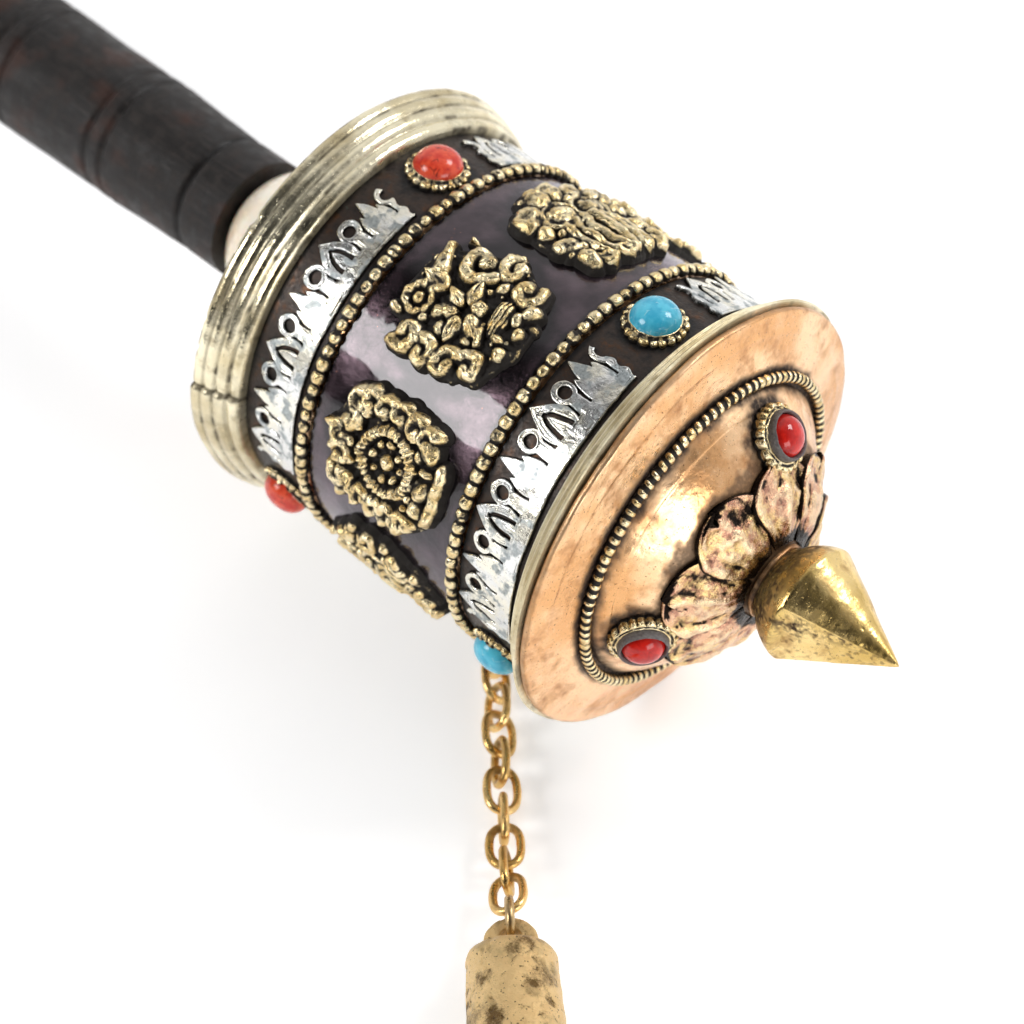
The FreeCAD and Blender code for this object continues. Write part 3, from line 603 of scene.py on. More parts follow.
def antique_brass(f):
    """Brass with dark recesses and rubbed high points, following the painted wear and painted shade."""
    bright, warm, dark = (0.93, 0.79, 0.50), (0.72, 0.54, 0.26), (0.016, 0.012, 0.009)
    grit = f.noise(0.34, 5, roughness=0.7)
    cloud = f.noise(2.4, 4)
    wear_and_shade = f.wear_and_shade_by(grit, 0.7)
    share = f.level(wear_and_shade, 0.34, 0.60)
    metal = f.mix(f.level(cloud, 0.38, 0.62), warm, bright)
    colour = f.mix(share, dark, metal)
    colour = f.mix(f.painted("grime"), colour, dimmed(dark, 0.4))
    return f.finish(colour, f.level(share, 0, 1, 0.62, 0.2), f.level(share, 0, 1, 0.35, 1.0),
                    f.bump(grit, 0.09))


def silvered_brass(f):
    grit = f.noise(0.5, 5, roughness=0.7)
    cloud = f.noise(2.4, 5)
    patch = f.noise(5, 3)
    bright = f.mix(f.level(patch, 0.4, 0.6), (0.84, 0.80, 0.68), (0.80, 0.80, 0.78))
    dull = f.colours(grit, (0.35, (0.16, 0.19, 0.20)), (0.65, (0.45, 0.49, 0.50)))
    share = f.level(cloud, 0.50, 0.62)
    colour = f.mix(f.times(share, 0.85), bright, dull)
    wear_and_shade = f.level(f.painted("wear_and_shade"), 0.2, 0.6)
    colour = f.mix(wear_and_shade, (0.02, 0.017, 0.015), colour)
    dots = f.level(f.noise(0.4, 2), 0.68, 0.74, 0, 0.8)
    colour = f.mix(dots, colour, (0.06, 0.05, 0.04))
    gloss = f.plus(f.level(share, 0, 1, 0.24, 0.48), f.times(dots, 0.3))
    normal = f.bump(f.minus(grit, dots), 0.05, f.bump(cloud, 0.10))
    return f.finish(colour, gloss, f.level(wear_and_shade, 0, 1, 0.4, 1.0), normal)


def cast_brass(f):
    grit = f.noise(0.35, 6, roughness=0.7)
    cloud = f.noise(3.5, 4)
    pits = f.level(f.noise(0.55, 3), 0.62, 0.70)
    wear_and_shade = f.wear_and_shade_by(grit, 0.9)
    share = f.level(wear_and_shade, 0.25, 0.7)
    colour = f.mix(share, (0.15, 0.09, 0.035), (0.74, 0.53, 0.26))
    colour = f.mix(f.level(cloud, 0.5, 0.7, 0, 0.5), colour, (0.34, 0.25, 0.12))
    colour = f.mix(f.times(pits, 0.75), colour, (0.04, 0.026, 0.014))
    return f.finish(colour, f.level(grit, 0.3, 0.7, 0.27, 0.50), 0.95,
                    f.bump(f.minus(grit, pits), 0.20, f.bump(f.noise(2.0, 4), 0.35)))


def petal_copper(f):
    cloud = f.noise(1.7, 6, roughness=0.66)
    broad = f.noise(5.0, 3)
    grit = f.noise(0.4, 5, roughness=0.7)
    rosy = f.mix(f.level(broad, 0.42, 0.58), (0.74, 0.44, 0.28), (0.76, 0.52, 0.23))
    colour = f.mix(f.level(cloud, 0.46, 0.58, 0, 0.75), rosy, (0.38, 0.17, 0.12))
    colour = f.mix(f.level(cloud, 0.58, 0.72, 0, 0.85), colour, (0.10, 0.05, 0.04))
    wear_and_shade = f.wear_and_shade_by(grit, 0.5)
    colour = f.mix(f.level(wear_and_shade, 0.55, 0.95, 0, 0.6), colour, (0.92, 0.72, 0.46))
    # Near black where the wear value is low, which takes in the painted shade along the petals' edges.
    colour = f.mix(f.level(wear_and_shade, 0.20, 0.48, 1, 0), colour, (0.014, 0.010, 0.008))
    return f.finish(colour, f.level(grit, 0.3, 0.7, 0.14, 0.34), 1.0,
                    f.bump(grit, 0.06, f.bump(cloud, 0.28)))


def stone(f, light, deep, vein, vein_size, vein_share, rough=0.08):
    cloud = f.noise(1.8, 4)
    crack = f.cell_walls(vein_size)
    thin = f.level(crack, 0.0, 0.06, 1, 0)
    line = f.times(thin, f.level(f.noise(1.3, 3), 0.5, 0.62, 0, vein_share))
    colour = f.mix(f.level(cloud, 0.35, 0.65), deep, light)
    colour = f.mix(line, colour, vein)
    return f.finish(colour, f.level(cloud, 0.3, 0.7, rough, rough + 0.08), 0, f.bump(cloud, 0.03),
                    Coat_Weight=0.15, Coat_Roughness=0.04, Specular_IOR_Level=0.36,
                    Subsurface_Weight=0.08, Subsurface_Radius=(0.002, 0.001, 0.0008))


def coral(f):
    return stone(f, (0.78, 0.10, 0.045), (0.58, 0.035, 0.02), (0.13, 0.015, 0.012), 1.9, 0.9)


def red_coral(f):
    return stone(f, (0.62, 0.018, 0.010), (0.42, 0.007, 0.005), (0.25, 0.01, 0.008), 3.4, 0.3, 0.04)


def turquoise(f):
    return stone(f, (0.11, 0.56, 0.74), (0.045, 0.40, 0.60), (0.40, 0.72, 0.78), 1.7, 0.6)


def setting_pitch(f):
    grit = f.noise(0.4, 5)
    colour = f.colours(grit, (0.3, (0.07, 0.06, 0.06)), (0.7, (0.20, 0.18, 0.17)))
    return f.finish(colour, f.level(grit, 0.3, 0.7, 0.45, 0.65), 0, f.bump(grit, 0.08))


def pale_wood(f):
    grain = f.noise(0.5, 6, f.stretched(0.05, 1, 1))
    colour = f.colours(grain, (0.3, (0.36, 0.21, 0.10)), (0.7, (0.66, 0.47, 0.27)))
    return f.finish(colour, 0.6, 0, f.bump(grain, 0.08))


def scroll_paper(f):
    fibre = f.noise(0.5, 6, f.stretched(1, 0.3, 0.3))
    stain = f.noise(9, 5)
    colour = f.colours(fibre, (0.3, (0.62, 0.52, 0.35)), (0.7, (0.80, 0.71, 0.53)))
    colour = f.mix(f.level(stain, 0.5, 0.75, 0, 0.5), colour, (0.50, 0.36, 0.19))
    return f.finish(colour, 0.8, 0, f.bump(fibre, 0.05))


def tie_cloth(f):
    along = f.node("ShaderNodeTexWave", {"Vector": f.lathe(1, 0), "Scale": 0.7, "Distortion": 0.6})
    across = f.noise(0.3, 3, f.stretched(0.1, 1, 1))
    weave = f.times(along.outputs["Fac"], across)
    colour = f.colours(weave, (0.1, (0.36, 0.10, 0.02)), (0.5, (0.78, 0.32, 0.07)))
    return f.finish(colour, 0.85, 0, f.bump(weave, 0.12), Sheen_Weight=0.3)


MAKERS = {maker.__name__: maker for maker in (
    stained_wood, bone, steel, yellow_brass, white_brass, chain_gold, dark_steel, copper, dark_copper,
    aubergine_lacquer, antique_brass, silvered_brass, cast_brass, petal_copper, coral, red_coral,
    turquoise, setting_pitch, pale_wood, scroll_paper, tie_cloth)}


# ---------------------------------------------------------------- handle and axle


def make_handle():
    """Turned handle with softened grooves, flats rubbed by wear and a small end bevel."""
    outside = outer_line("handle")
    bore = stations("axle")[2]
    line = resample(outside, 0.3, soften=1)
    loop = np.vstack([[[0, 0.05]], line, [[outside[-1, 0], bore]], [[outside[-1, 0] - 30, bore]],
                      [[outside[-1, 0] - 30, 0.05]]])

    def wear(points):
        dents = rough(points, 16, 3) * 0.12 + rough(points, 3.0, 5, 2) * 0.035
        return shift_out(points, np.where(radius_of(points) > bore + 3, dents, 0))

    # Painted shade in the grooves: darker where the turned surface sinks below the straight line from the
    # thick end to the thin end.
    def grime(points):
        thick, thin = outside[1, 1], outside[-1, 1]
        limit = np.interp(points[..., 0], outside[[0, 1, -1], 0], [thick, thick, thin])
        return {"grime": ease(0.1, 0.6, limit - radius_of(points))}

    turned_piece("handle_turned", "handle", loop, 160, wear, 30, grime)


def make_ball():
    outside = outer_line("ball_collar")
    bore = stations("axle")[2]
    line = resample(outside, 0.35)
    loop = np.vstack([[[outside[0, 0], bore]], line, [[outside[-1, 0], bore]]])
    turned_piece("ball_collar_polished", "ball_collar", loop, 160,
                 lambda points: shift_out(points, rough(points, 9, 11, 2) * 0.04), 50)


# ---------------------------------------------------------------- drum tin, bands and wires

SHELL = stations("drum_shell")
LACQUER = stations("lacquer_sheet")
# How thick the lacquer sheet and the bands are drawn.
SHEET_THICKNESS = 0.45


def sheet_loop(node, step):
    start, end, radius = stations(node)
    inner = radius - SHEET_THICKNESS
    return np.vstack([resample([(start, radius), (end, radius)], step), [[end, inner], [start, inner]]])


def make_lacquer_sheet():
    """The lacquered sheet: shallow dents, and painted shade along its edges and round each medallion."""
    loop = sheet_loop("lacquer_sheet", 0.45)
    start, end, radius = LACQUER
    plates = []
    for node in DESIGNS:
        low, high, _ = stations(node)
        angle = angle_of(node_points(node))
        plates.append((about_axis((low + high) / 2, radius, angle), (high - low) / 2))

    def dent(points):
        on_face = radius_of(points) > radius - 0.1
        return shift_out(points, np.where(on_face, rough(points, 7, 21) * 0.07 - 0.05, 0))

    # Painted shade beside the bead wires at the sheet's edges and in a ring round each medallion.
    def grime(points):
        edge = np.minimum(points[..., 0] - start, end - points[..., 0])
        dark = ease(0.9, 0.1, edge + rough(points, 1.4, 5, 2) * 0.25)
        wander = rough(points, 2.4, 27, 2) * 0.9
        for middle, reach in plates:
            gap = np.linalg.norm(points - middle, axis=-1) - reach + wander
            dark = np.maximum(dark, 0.85 * ease(1.9, -0.4, gap))
        return {"grime": dark}

    turned_piece("lacquer_sheet_dented", "lacquer_sheet", loop, 420, dent, 60, grime)


def make_band(node, stones):
    """A band's dark ground, with painted shade along its edges and round the stones."""
    loop = sheet_loop(node, 0.5)
    start, end, radius = stations(node)
    spots = [standing_axis(points)[0] for points in islands(stones)]

    def dent(points):
        on_face = radius_of(points) > radius - 0.1
        return shift_out(points, np.where(on_face, rough(points, 4, 31) * 0.035 - 0.03, 0))

    # Painted shade at the band's edges and round the foot of each stone's setting.
    def grime(points):
        edge = np.minimum(points[..., 0] - start, end - points[..., 0])
        dark = ease(1.1, 0.1, edge + rough(points, 1.2, 9, 2) * 0.3)
        for spot in spots:
            gap = np.linalg.norm(points - spot, axis=-1) + rough(points, 1.3, 4, 2) * 0.4
            dark = np.maximum(dark, ease(6.6, 5.2, gap))
        return {"grime": dark}

    turned_piece(f"{node}_ground", node, loop, 420, dent, 60, grime)


def ring_points(station, radius, steps, section, swell):
    """A wire ring round the spin axis; swell(angle, turn) is the wire's own radius."""
    angle, around = round_turn(steps)[None, :], round_turn(section)[:, None]
    wire = swell(angle, around)
    return about_axis(station - wire * np.sin(around), radius + wire * np.cos(around), angle)


def make_bead_wire(node, beads, seed):
    """A round wire pressed into a row of uneven beads with narrow necks between them."""
    start, end, radius = stations(node)
    wire = (end - start) / 2

    def swell(angle, around):
        place = angle * beads / TURN
        number = np.floor(place)
        phase = (place - number) * 2 - 1
        size = 1 + 0.16 * lattice(np.stack([number, number * 0, number * 0], -1).astype(np.int64), seed)
        bead = np.sqrt(np.clip(1 - (np.abs(phase) / (0.82 * size)) ** 2.2, 0, 1))
        return wire * np.minimum(size, 1.06) * (0.50 + 0.42 * bead) * (1 - 0.05 * np.cos(around * 2))

    steps = beads * 14
    points = ring_points((start + end) / 2, radius - wire, steps, 14, swell)
    points = ripple(points, 1.1, seed, 0.08)
    # The painted wear value is high on the beads' outward tops and low in the necks and down the sides:
    # rubbed wear on the tops, painted shade where the wire sits in its groove.
    angle = turn_of(points) * beads / TURN
    neck = ease(0.66, 0.9, np.abs((angle % 1) * 2 - 1))
    out = ease(radius - 1.4 * wire, radius - 0.4 * wire, radius_of(points))
    wear_and_shade = out * (1 - neck) * (0.74 + 0.5 * rough(points, 0.8, seed + 2))
    add_piece(f"{node}_beaded", points, grid_faces(14, steps, True), node, {"wear_and_shade": wear_and_shade})


ROPE_TEETH = 108


def make_rope_ring():
    """The lid's milled ring: close cross cuts over a round wire, pressed a little into its seat."""
    start, end, radius = stations("rope_ring")
    wire = 0.84 * (end - start) / 2
    centre = start + wire

    def cut_at(points, around):
        """0 on top of a tooth and 1 at the bottom of a cut; some cuts are shallow."""
        angle = turn_of(points)
        lean = angle * ROPE_TEETH + 0.6 * np.sin(around)
        depth = 0.8 + 0.2 * np.sin(angle * 9 + 1) + 0.15 * np.sin(angle * 31)
        return np.abs(np.cos(lean / 2)) ** 1.8 * depth

    steps, section = ROPE_TEETH * 12, 16
    around = round_turn(section)[:, None]
    row = (centre, radius - wire, steps, section)
    cut = cut_at(ring_points(*row, lambda angle, turned: wire + 0 * angle * turned), around)
    points = ring_points(*row, lambda angle, turned: wire * (1.0 - 0.34 * cut))
    points = ripple(points, 1.5, 44, 0.05)
    face = ease(start + 0.1 * wire, start + 1.1 * wire, points[..., 0])
    add_piece("rope_ring_milled", points, grid_faces(section, steps, True), "rope_ring",
              {"wear_and_shade": face * ease(0.75, 0.15, cut) * 0.9})


def make_lower_rim():
    """Four soft ridges of drawn brass, with a soldered lap and a chipped outer edge."""
    outside = outer_line("lower_rim")
    start, end, _ = stations("lower_rim")
    lip = inner_radius("lower_rim")
    inner = SHELL[2]
    line = resample(outside, 0.16, soften=7)
    lip_end = SHELL[0]
    loop = np.vstack([resample([(start, lip), line[0]], 0.5)[:-1], line, [[end, inner]],
                      [[lip_end, inner]], [[lip_end, lip]]])
    # Where the brass sheet laps over its own end.
    lap = math.radians(170)

    def shape(points):
        face = ease(inner + 0.3, inner + 1.2, radius_of(points))
        gap = away(turn_of(points), lap)
        step = 0.55 * ease(-0.004, 0.004, gap) * ease(0.6, 0.05, gap)
        crease = -0.35 * hump(gap, 0.006)
        wave = rough(points, 12, 51, 3) * 0.13 + noise(points, 2.2, 57) * 0.025
        outer = ease(start + 1.4, start + 0.3, points[..., 0])
        nick = -0.5 * ease(0.55, 0.8, noise(points, 1.8, 58)) * outer
        return shift_out(points, face * (wave + step + crease + nick))

    # Painted shade in the valleys between the ridges, over dark tarnish patches, a darker broken end face
    # and a dark line along the lap's seam.
    def grime(points):
        ridge = (end - start) / 4
        across = ((points[..., 0] - start) / ridge) % 1
        valley = ease(0.20, 0.03, np.minimum(across, 1 - across))
        patch = ease(0.05, 0.6, rough(points, 2.6, 61, 3))
        end_face = ease(start + 0.8, start + 0.1, points[..., 0])
        edge = end_face * ease(outside[0, 1] - 2.2, outside[0, 1], radius_of(points))
        edge = (0.25 + 0.75 * edge) * ease(0.0, 0.5, rough(points, 1.7, 63)) * end_face
        seam = hump(away(turn_of(points), lap), 0.01)
        dark = valley * (0.42 + 0.4 * patch) + 0.16 * patch + edge * 0.8 + seam * 0.9
        return {"grime": np.clip(dark, 0, 1)}

    turned_piece("lower_rim_drawn", "lower_rim", loop, 560, shape, 60, grime)


def make_upper_rim():
    """Fine uneven steps that flare out under the lid."""
    outside = outer_line("upper_rim")
    start, end, _ = stations("upper_rim")
    inner = SHELL[2]
    line = resample(outside, 0.12, soften=1)
    loop = np.vstack([line, [[end, inner]], [[start, inner]]])

    def shape(points):
        face = ease(inner + 0.2, inner + 1.0, radius_of(points))
        streak = points * np.array([1.6, 0.12, 0.12])
        wave = rough(points, 10, 71, 2) * 0.10 + noise(streak, 0.5, 73) * 0.03
        return shift_out(points, face * (wave - 0.05))

    # Painted shade along the lines between the steps, broken into patches, and at the rim's foot beside the
    # band.
    def grime(points):
        share = (points[..., 0] - start) / (end - start) * 3
        line_gap = np.abs(share - np.round(share)) * (end - start) / 3
        patch = ease(-0.2, 0.5, rough(points, 3.2, 77, 3))
        dark = ease(0.10, 0.02, line_gap) * patch * 0.5 + ease(0.12, 0.02, share) * 0.4
        return {"grime": np.clip(dark, 0, 1), "brushed": np.ones(dark.shape)}

    turned_piece("upper_rim_stepped", "upper_rim", loop, 560, shape, 28, grime)


def make_drum_floor():
    """The drum's copper floor, stamped with two rings round the bush."""
    start, end, radius = stations("drum_floor")
    hole = inner_radius("drum_floor")
    out = resample([(start, hole), (start, radius)], 0.35)
    share = (out[:, 1] - hole) / (radius - hole)
    for spot in (0.38, 0.72):
        out[:, 0] += 0.35 * hump(share - spot, 0.025)
    loop = np.vstack([out[::-1], [[end, hole]], [[end, radius]]])

    def shape(points):
        dent = rough(points, 8, 81) * 0.12 * (points[..., 0] < (start + end) / 2)
        return shift_along(points, dent)

    # Painted shade next to the bush and round the outer edge.
    def grime(points):
        gap = np.minimum(radius_of(points) - hole, radius - radius_of(points))
        return {"grime": ease(1.6, 0.2, gap + rough(points, 2, 83) * 0.5) * 0.8}

    turned_piece("drum_floor_stamped", "drum_floor", loop, 220, shape, 40, grime)


# ---------------------------------------------------------------- flat ornament raised on a drum


def sheet_faces(keep):
    """Faces of a closed sheet over the kept cells of a grid: its top, its back and the wall between."""
    rows, columns = keep.shape[0] + 1, keep.shape[1] + 1
    index = np.arange(rows * columns).reshape(rows, columns)
    corner = [index[:-1, :-1], index[:-1, 1:], index[1:, 1:], index[1:, :-1]]
    top = np.stack([c[keep] for c in corner], -1)
    below = rows * columns
    ringed = np.pad(keep, 1)
    made = [top, top[:, ::-1] + below]
    for k, (down, right) in enumerate(((-1, 0), (0, 1), (1, 0), (0, -1))):
        beside = ringed[1 + down:rows + down, 1 + right:columns + right]
        edge = keep & ~beside
        p, q = corner[k][edge], corner[(k + 1) % 4][edge]
        made.append(np.stack([q, p, p + below, q + below], -1))
    return np.concatenate(made)


def face_paint(values):
    """Values for a closed sheet's points: as given on its face, 0 on its back."""
    return np.concatenate([values.ravel(), np.zeros(values.size)])


def raised_sheet(name, node, up, right, height, depth, place, keep, wear_and_shade):
    """A closed sheet whose face follows height; place(up, right, height) gives row-frame points."""
    face = place(up, right, height)
    back = place(up, right, np.full_like(height, -depth))
    cells = keep[:-1, :-1] | keep[1:, :-1] | keep[:-1, 1:] | keep[1:, 1:]
    faces = sheet_faces(cells)
    used, faces = np.unique(faces, return_inverse=True)
    points = np.concatenate([face.reshape(-1, 3), back.reshape(-1, 3)])[used]
    paint = {"wear_and_shade": face_paint(wear_and_shade)[used]}
    add_piece(name, points, faces.reshape(-1, 4).tolist(), node, paint, 70)


def on_drum(station, angle, radius):
    """Placer for a flat design: up runs to the handle, right runs against the angle."""
    def place(up, right, height):
        return about_axis(station - up, radius + height, angle - right / radius)
    return place


def blurred(values, times):
    for _ in range(times):
        values = sum(np.roll(values, shift, axis) for shift in (-2, 2) for axis in (0, 1)) / 4
    return values


def path_share(up, right, path, start_width, end_width):
    """1 on a path, 0 at its edge and below 0 beyond: the section of a tapering half-round stroke."""
    best = np.full_like(up, -1e3)
    gap = np.full_like(up, 1e3)
    count = len(path) - 1
    for k in range(count):
        (au, av), (bu, bv) = path[k], path[k + 1]
        du, dv = bu - au, bv - av
        along = np.clip(((up - au) * du + (right - av) * dv) / max(du * du + dv * dv, 1e-9), 0, 1)
        far = np.hypot(up - au - along * du, right - av - along * dv)
        width = start_width + (end_width - start_width) * (k + along) / count
        best = np.maximum(best, 1 - (far / width) ** 2)
        gap = np.minimum(gap, far - width)
    return best, gap


def polar(up, right, reach, angle):
    """The point at a reach from (up, right), in the direction of an angle from up towards right."""
    return up + reach * math.cos(angle), right + reach * math.sin(angle)


def curl_path(up, right, radius, start, hand, turns, tightness=0.72, steps=22):
    """A spiral that starts at an angle on its rim and winds in."""
    path = []
    for k in range(steps + 1):
        share = k / steps
        angle = math.radians(start) + hand * turns * TURN * share
        path.append(polar(up, right, radius * (1 - tightness * share), angle))
    return path


# The turn, in radians, that spreads points evenly over a disc.
GOLDEN_ANGLE = 2.39996


# Grid steps, in mm, of the medallions' and the pierced strips' sheets.
MEDALLION_CELL = 0.16
STRIP_CELL = 0.12


class Relief:
    """A cast plate's design: half-round strokes, domes and leaves on a ground that follows them.

    The design is drawn on coordinates bent by noise, so nothing in it is quite regular.
    """

    def __init__(self, half_up, half_right, cell, seed):
        ups = np.arange(-half_up, half_up + cell, cell)
        rights = np.arange(-half_right, half_right + cell, cell)
        self.at_up, self.at_right = np.meshgrid(ups, rights, indexing="ij")
        spot = flat_points(self.at_up, self.at_right, seed * 31.0)
        self.up = self.at_up + 0.42 * rough(spot, 3.4, seed + 21, 2)
        self.right = self.at_right + 0.42 * rough(spot, 3.4, seed + 25, 2)
        self.half_up, self.half_right = half_up, half_right
        self.seed = seed
        self.height = np.zeros_like(self.up)
        self.gap = np.full_like(self.up, 9.0)

    def stroke(self, path, width, height, end_width=None):
        end = width if end_width is None else end_width
        share, gap = path_share(self.up, self.right, path, width, end)
        self.height = np.maximum(self.height, height * np.sqrt(np.clip(share, 0, 1)))
        self.gap = np.minimum(self.gap, gap)

    def groove(self, path, width, depth):
        share, _ = path_share(self.up, self.right, path, width, width)
        self.height = np.maximum(self.height - depth * np.sqrt(np.clip(share, 0, 1)), 0)

    def turned(self, up, right, turn):
        """The grid's own coordinates along and across a direction from a point."""
        c, s = polar(0, 0, 1, math.radians(turn))
        return (self.up - up) * c + (self.right - right) * s, -(self.up - up) * s + (self.right - right) * c

    def dome(self, up, right, radius, height, squash=1.0, turn=0.0):
        along, across = self.turned(up, right, turn)
        far = np.hypot(along, across / squash)
        self.height = np.maximum(self.height, height * np.sqrt(np.clip(1 - (far / radius) ** 2, 0, 1)))
        self.gap = np.minimum(self.gap, far - radius)

    def ring(self, up, right, radius, width, height, beads=0):
        far = np.abs(np.hypot(self.up - up, self.right - right) - radius)
        around = np.arctan2(self.right - right, self.up - up)
        swell = 0.86 + 0.14 * np.cos(beads * around) if beads else 1.0
        share = np.sqrt(np.clip(1 - (far / width) ** 2, 0, 1))
        self.height = np.maximum(self.height, height * swell * share)
        self.gap = np.minimum(self.gap, far - width)

    def leaf(self, up, right, turn, length, width, height, vein=0.5):
        """A pointed leaf from its root, with a sunk vein."""
        along, across = self.turned(up, right, turn)
        along = along / length
        half = width * np.sin(np.pi * np.clip(along, 0, 1) ** 0.75) + 1e-3
        inside = (along > 0) & (along < 1)
        share = np.where(inside, np.clip(1 - (across / half) ** 2, 0, 1), 0)
        body = height * np.sqrt(share) - vein * hump(across, 0.22) * (share > 0)
        self.height = np.maximum(self.height, body)
        self.gap = np.minimum(self.gap, np.where(inside, np.abs(across) - half, 9.0))

    def curl(self, up, right, radius, start, hand, width=0.8, height=1.6, turns=0.95):
        path = curl_path(up, right, radius, start, hand, turns)
        self.stroke(path, width, height, width * 0.75)
        self.dome(*path[-1], width * 1.1, height * 1.05)

    def lumps(self, spots, radius, height):
        """Domes of uneven size at (up, right) spots."""
        for k, (up, right) in enumerate(spots):
            size = radius * (1 + 0.28 * math.sin(2.3 * k + self.seed))
            self.dome(up, right, size, height, 0.75 + 0.2 * math.sin(1.7 * k), 53 * k + 20)

    def spot(self, share, angle):
        """The point at a share of the way out to the plate's edge."""
        return share * self.half_up * math.cos(angle), share * self.half_right * math.sin(angle)

    def crumbs(self, count):
        """Small low lumps that fill the ground between the larger forms."""
        for k in range(count):
            spot = self.spot(0.86 * math.sqrt((k + 0.5) / count), GOLDEN_ANGLE * k + self.seed)
            self.dome(*spot, 0.55 + 0.25 * math.sin(5.1 * k), 0.75 + 0.25 * math.sin(3.3 * k))

    def ribbons(self, line, width=0.62):
        """The same tapering ribbon on each side of the plate."""
        for side in (-1, 1):
            self.stroke([(up, side * right) for up, right in line], width, 1.4, 0.4)

    def scroll_border(self, count, share, radius, first):
        """Thick curls of alternate hand round the edge, with beads between them."""
        height = 1.6
        for k in range(count):
            angle = first + 360 * k / count + 5 * math.sin(2.1 * k + self.seed)
            hand = 1 if k % 2 else -1
            size = radius * (1 + 0.12 * math.sin(3.7 * k))
            self.curl(*self.spot(share, math.radians(angle)), size, angle + 100 * hand, hand, 0.82, height)
            between = math.radians(angle + 180 / count)
            self.dome(*self.spot(share + 0.09, between), 1.05, height * 0.9)
            self.dome(*self.spot(share - 0.2, between), 0.75, height * 0.75)

    def cast(self, name, node, place):
        """Turns the design into a plate with a rounded lobed edge, cast grain and rubbed tops."""
        self.crumbs(70)
        points = flat_points(self.at_up, self.at_right, self.seed * 10.0)
        core = np.hypot(self.up / (0.86 * self.half_up), self.right / (0.86 * self.half_right))
        gap = np.minimum(self.gap, (core - 1) * 0.86 * self.half_right)
        gap = gap + rough(points, 2.2, self.seed, 2) * 0.2
        plate = ease(0.7, 0.1, gap)
        grain = rough(points, 1.2, self.seed + 3, 3) * 0.16 + noise(points, 0.4, self.seed + 5) * 0.09
        relief = np.minimum(self.height * (1 + 0.22 * rough(points, 1.8, self.seed + 9, 2)), 2.0)
        height = plate * (0.8 + relief + grain) - 0.3 * (1 - plate)
        cavity = height - blurred(height, 5)
        wear_and_shade = 0.13 + 0.34 * ease(0.3, 1.4, relief) + 0.85 * cavity
        wear_and_shade = wear_and_shade + 0.14 * rough(points, 1.0, self.seed + 11)
        raised_sheet(name, node, self.at_up, self.at_right, height, 0.6, place, gap < 0.85, wear_and_shade)


def wheel_design(r):
    """A studded wheel between stacked leaves and flames, with a crown of curls above."""
    hub_up, hub_right = -0.8, 0.6
    r.ring(hub_up, hub_right, 4.7, 1.1, 1.95, 30)
    r.dome(hub_up, hub_right, 1.5, 2.0)
    for k in range(8):
        angle = k * TURN / 8
        r.dome(*polar(hub_up, hub_right, 2.75, angle), 0.72, 1.5)
        r.stroke([polar(hub_up, hub_right, out, angle) for out in (1.2, 4.2)], 0.28, 0.5)
    for side in (-1, 1):
        for k in range(5):
            up = 5.6 - 3.0 * k
            right = side * (8.0 - 0.35 * abs(k - 1.8))
            r.curl(up, right, 1.9, 90 * side + 40, -side, 1.15, 1.75, 0.7)
            r.leaf(up - 0.4, right * 0.78, 90 * side + 25, 2.0, 1.0, 1.4, 0.2)
    for k in range(-2, 3):
        r.curl(8.3 - 0.5 * abs(k), 3.1 * k, 1.9, 30 * k + 60, 1 if k % 2 else -1, 1.2, 1.85, 0.7)
        r.leaf(5.6 - 0.5 * abs(k), 2.6 * k, 14 * k, 3.0, 1.2, 1.6, 0.2)
    r.leaf(8.4, 0.8, 4, 3.6, 1.5, 1.8, 0.2)
    r.lumps([(-8.3 + 0.25 * k * k, 3.1 * k) for k in range(-2, 3)], 1.8, 1.8)
    r.lumps([(-6.4 + 0.3 * abs(k), 2.2 * k) for k in range(-2, 3)], 1.0, 1.4)
    r.stroke([(-10.2, -4.4), (-10.8, 0), (-10.1, 4.4)], 1.1, 1.6)


def lotus_design(r):
    """An open flower off centre among heavy scrolls, a beaded boss and a hooked leaf."""
    for k in range(6):
        angle = 60 * k + 25
        length = 3.9 + 0.9 * math.sin(2.2 * k)
        r.leaf(*polar(0.1, -0.6, 0.9, math.radians(angle)), angle, length, 1.55, 1.8, 0.35)
    r.lumps([(1.6, -4.6), (-2.9, -3.9), (3.4, -2.4)], 1.45, 1.5)
    r.ring(7.9, -2.4, 2.0, 0.85, 1.6, 9)
    r.dome(7.9, -2.4, 0.95, 1.7)
    r.leaf(4.4, 0.6, 8, 5.6, 2.1, 1.8, 0.2)
    r.stroke([(7.6, 2.6), (8.8, 4.9), (9.7, 6.8)], 1.6, 1.75, 0.9)
    r.curl(3.3, 7.0, 3.2, 200, 1, 1.4, 1.95, 0.8)
    r.curl(-1.6, 8.6, 2.4, 60, -1, 1.3, 1.85, 0.8)
    r.curl(-5.6, 6.9, 2.3, 150, 1, 1.3, 1.8, 0.75)
    r.curl(5.9, -7.4, 2.4, 300, -1, 1.3, 1.8, 0.8)
    r.curl(1.8, -8.8, 2.3, 40, 1, 1.3, 1.75, 0.8)
    r.curl(-2.4, -8.3, 2.2, 120, -1, 1.25, 1.75, 0.8)
    r.curl(-6.2, -6.8, 2.2, 20, 1, 1.25, 1.75, 0.75)
    r.dome(-5.2, 1.6, 3.3, 1.75, 0.46, 84)
    for k in range(5):
        r.groove([(-5.2 + 0.5 * (k - 2), -1.2), (-4.8 + 0.6 * (k - 2), 4.4)], 0.13, 0.35)
    r.stroke([(-2.6, -2.4), (-3.9, -1.6), (-4.6, -3.4)], 1.1, 1.5, 0.7)
    r.lumps([(-8.9, -3.0), (-9.3, 1.0), (-8.6, 4.6), (-7.0, -1.2), (-7.4, 2.6)], 1.6, 1.7)
    r.lumps([(10.0, -5.4), (5.4, -4.6), (-2.4, 5.4), (6.9, 9.2), (1.2, 4.4)], 1.25, 1.5)


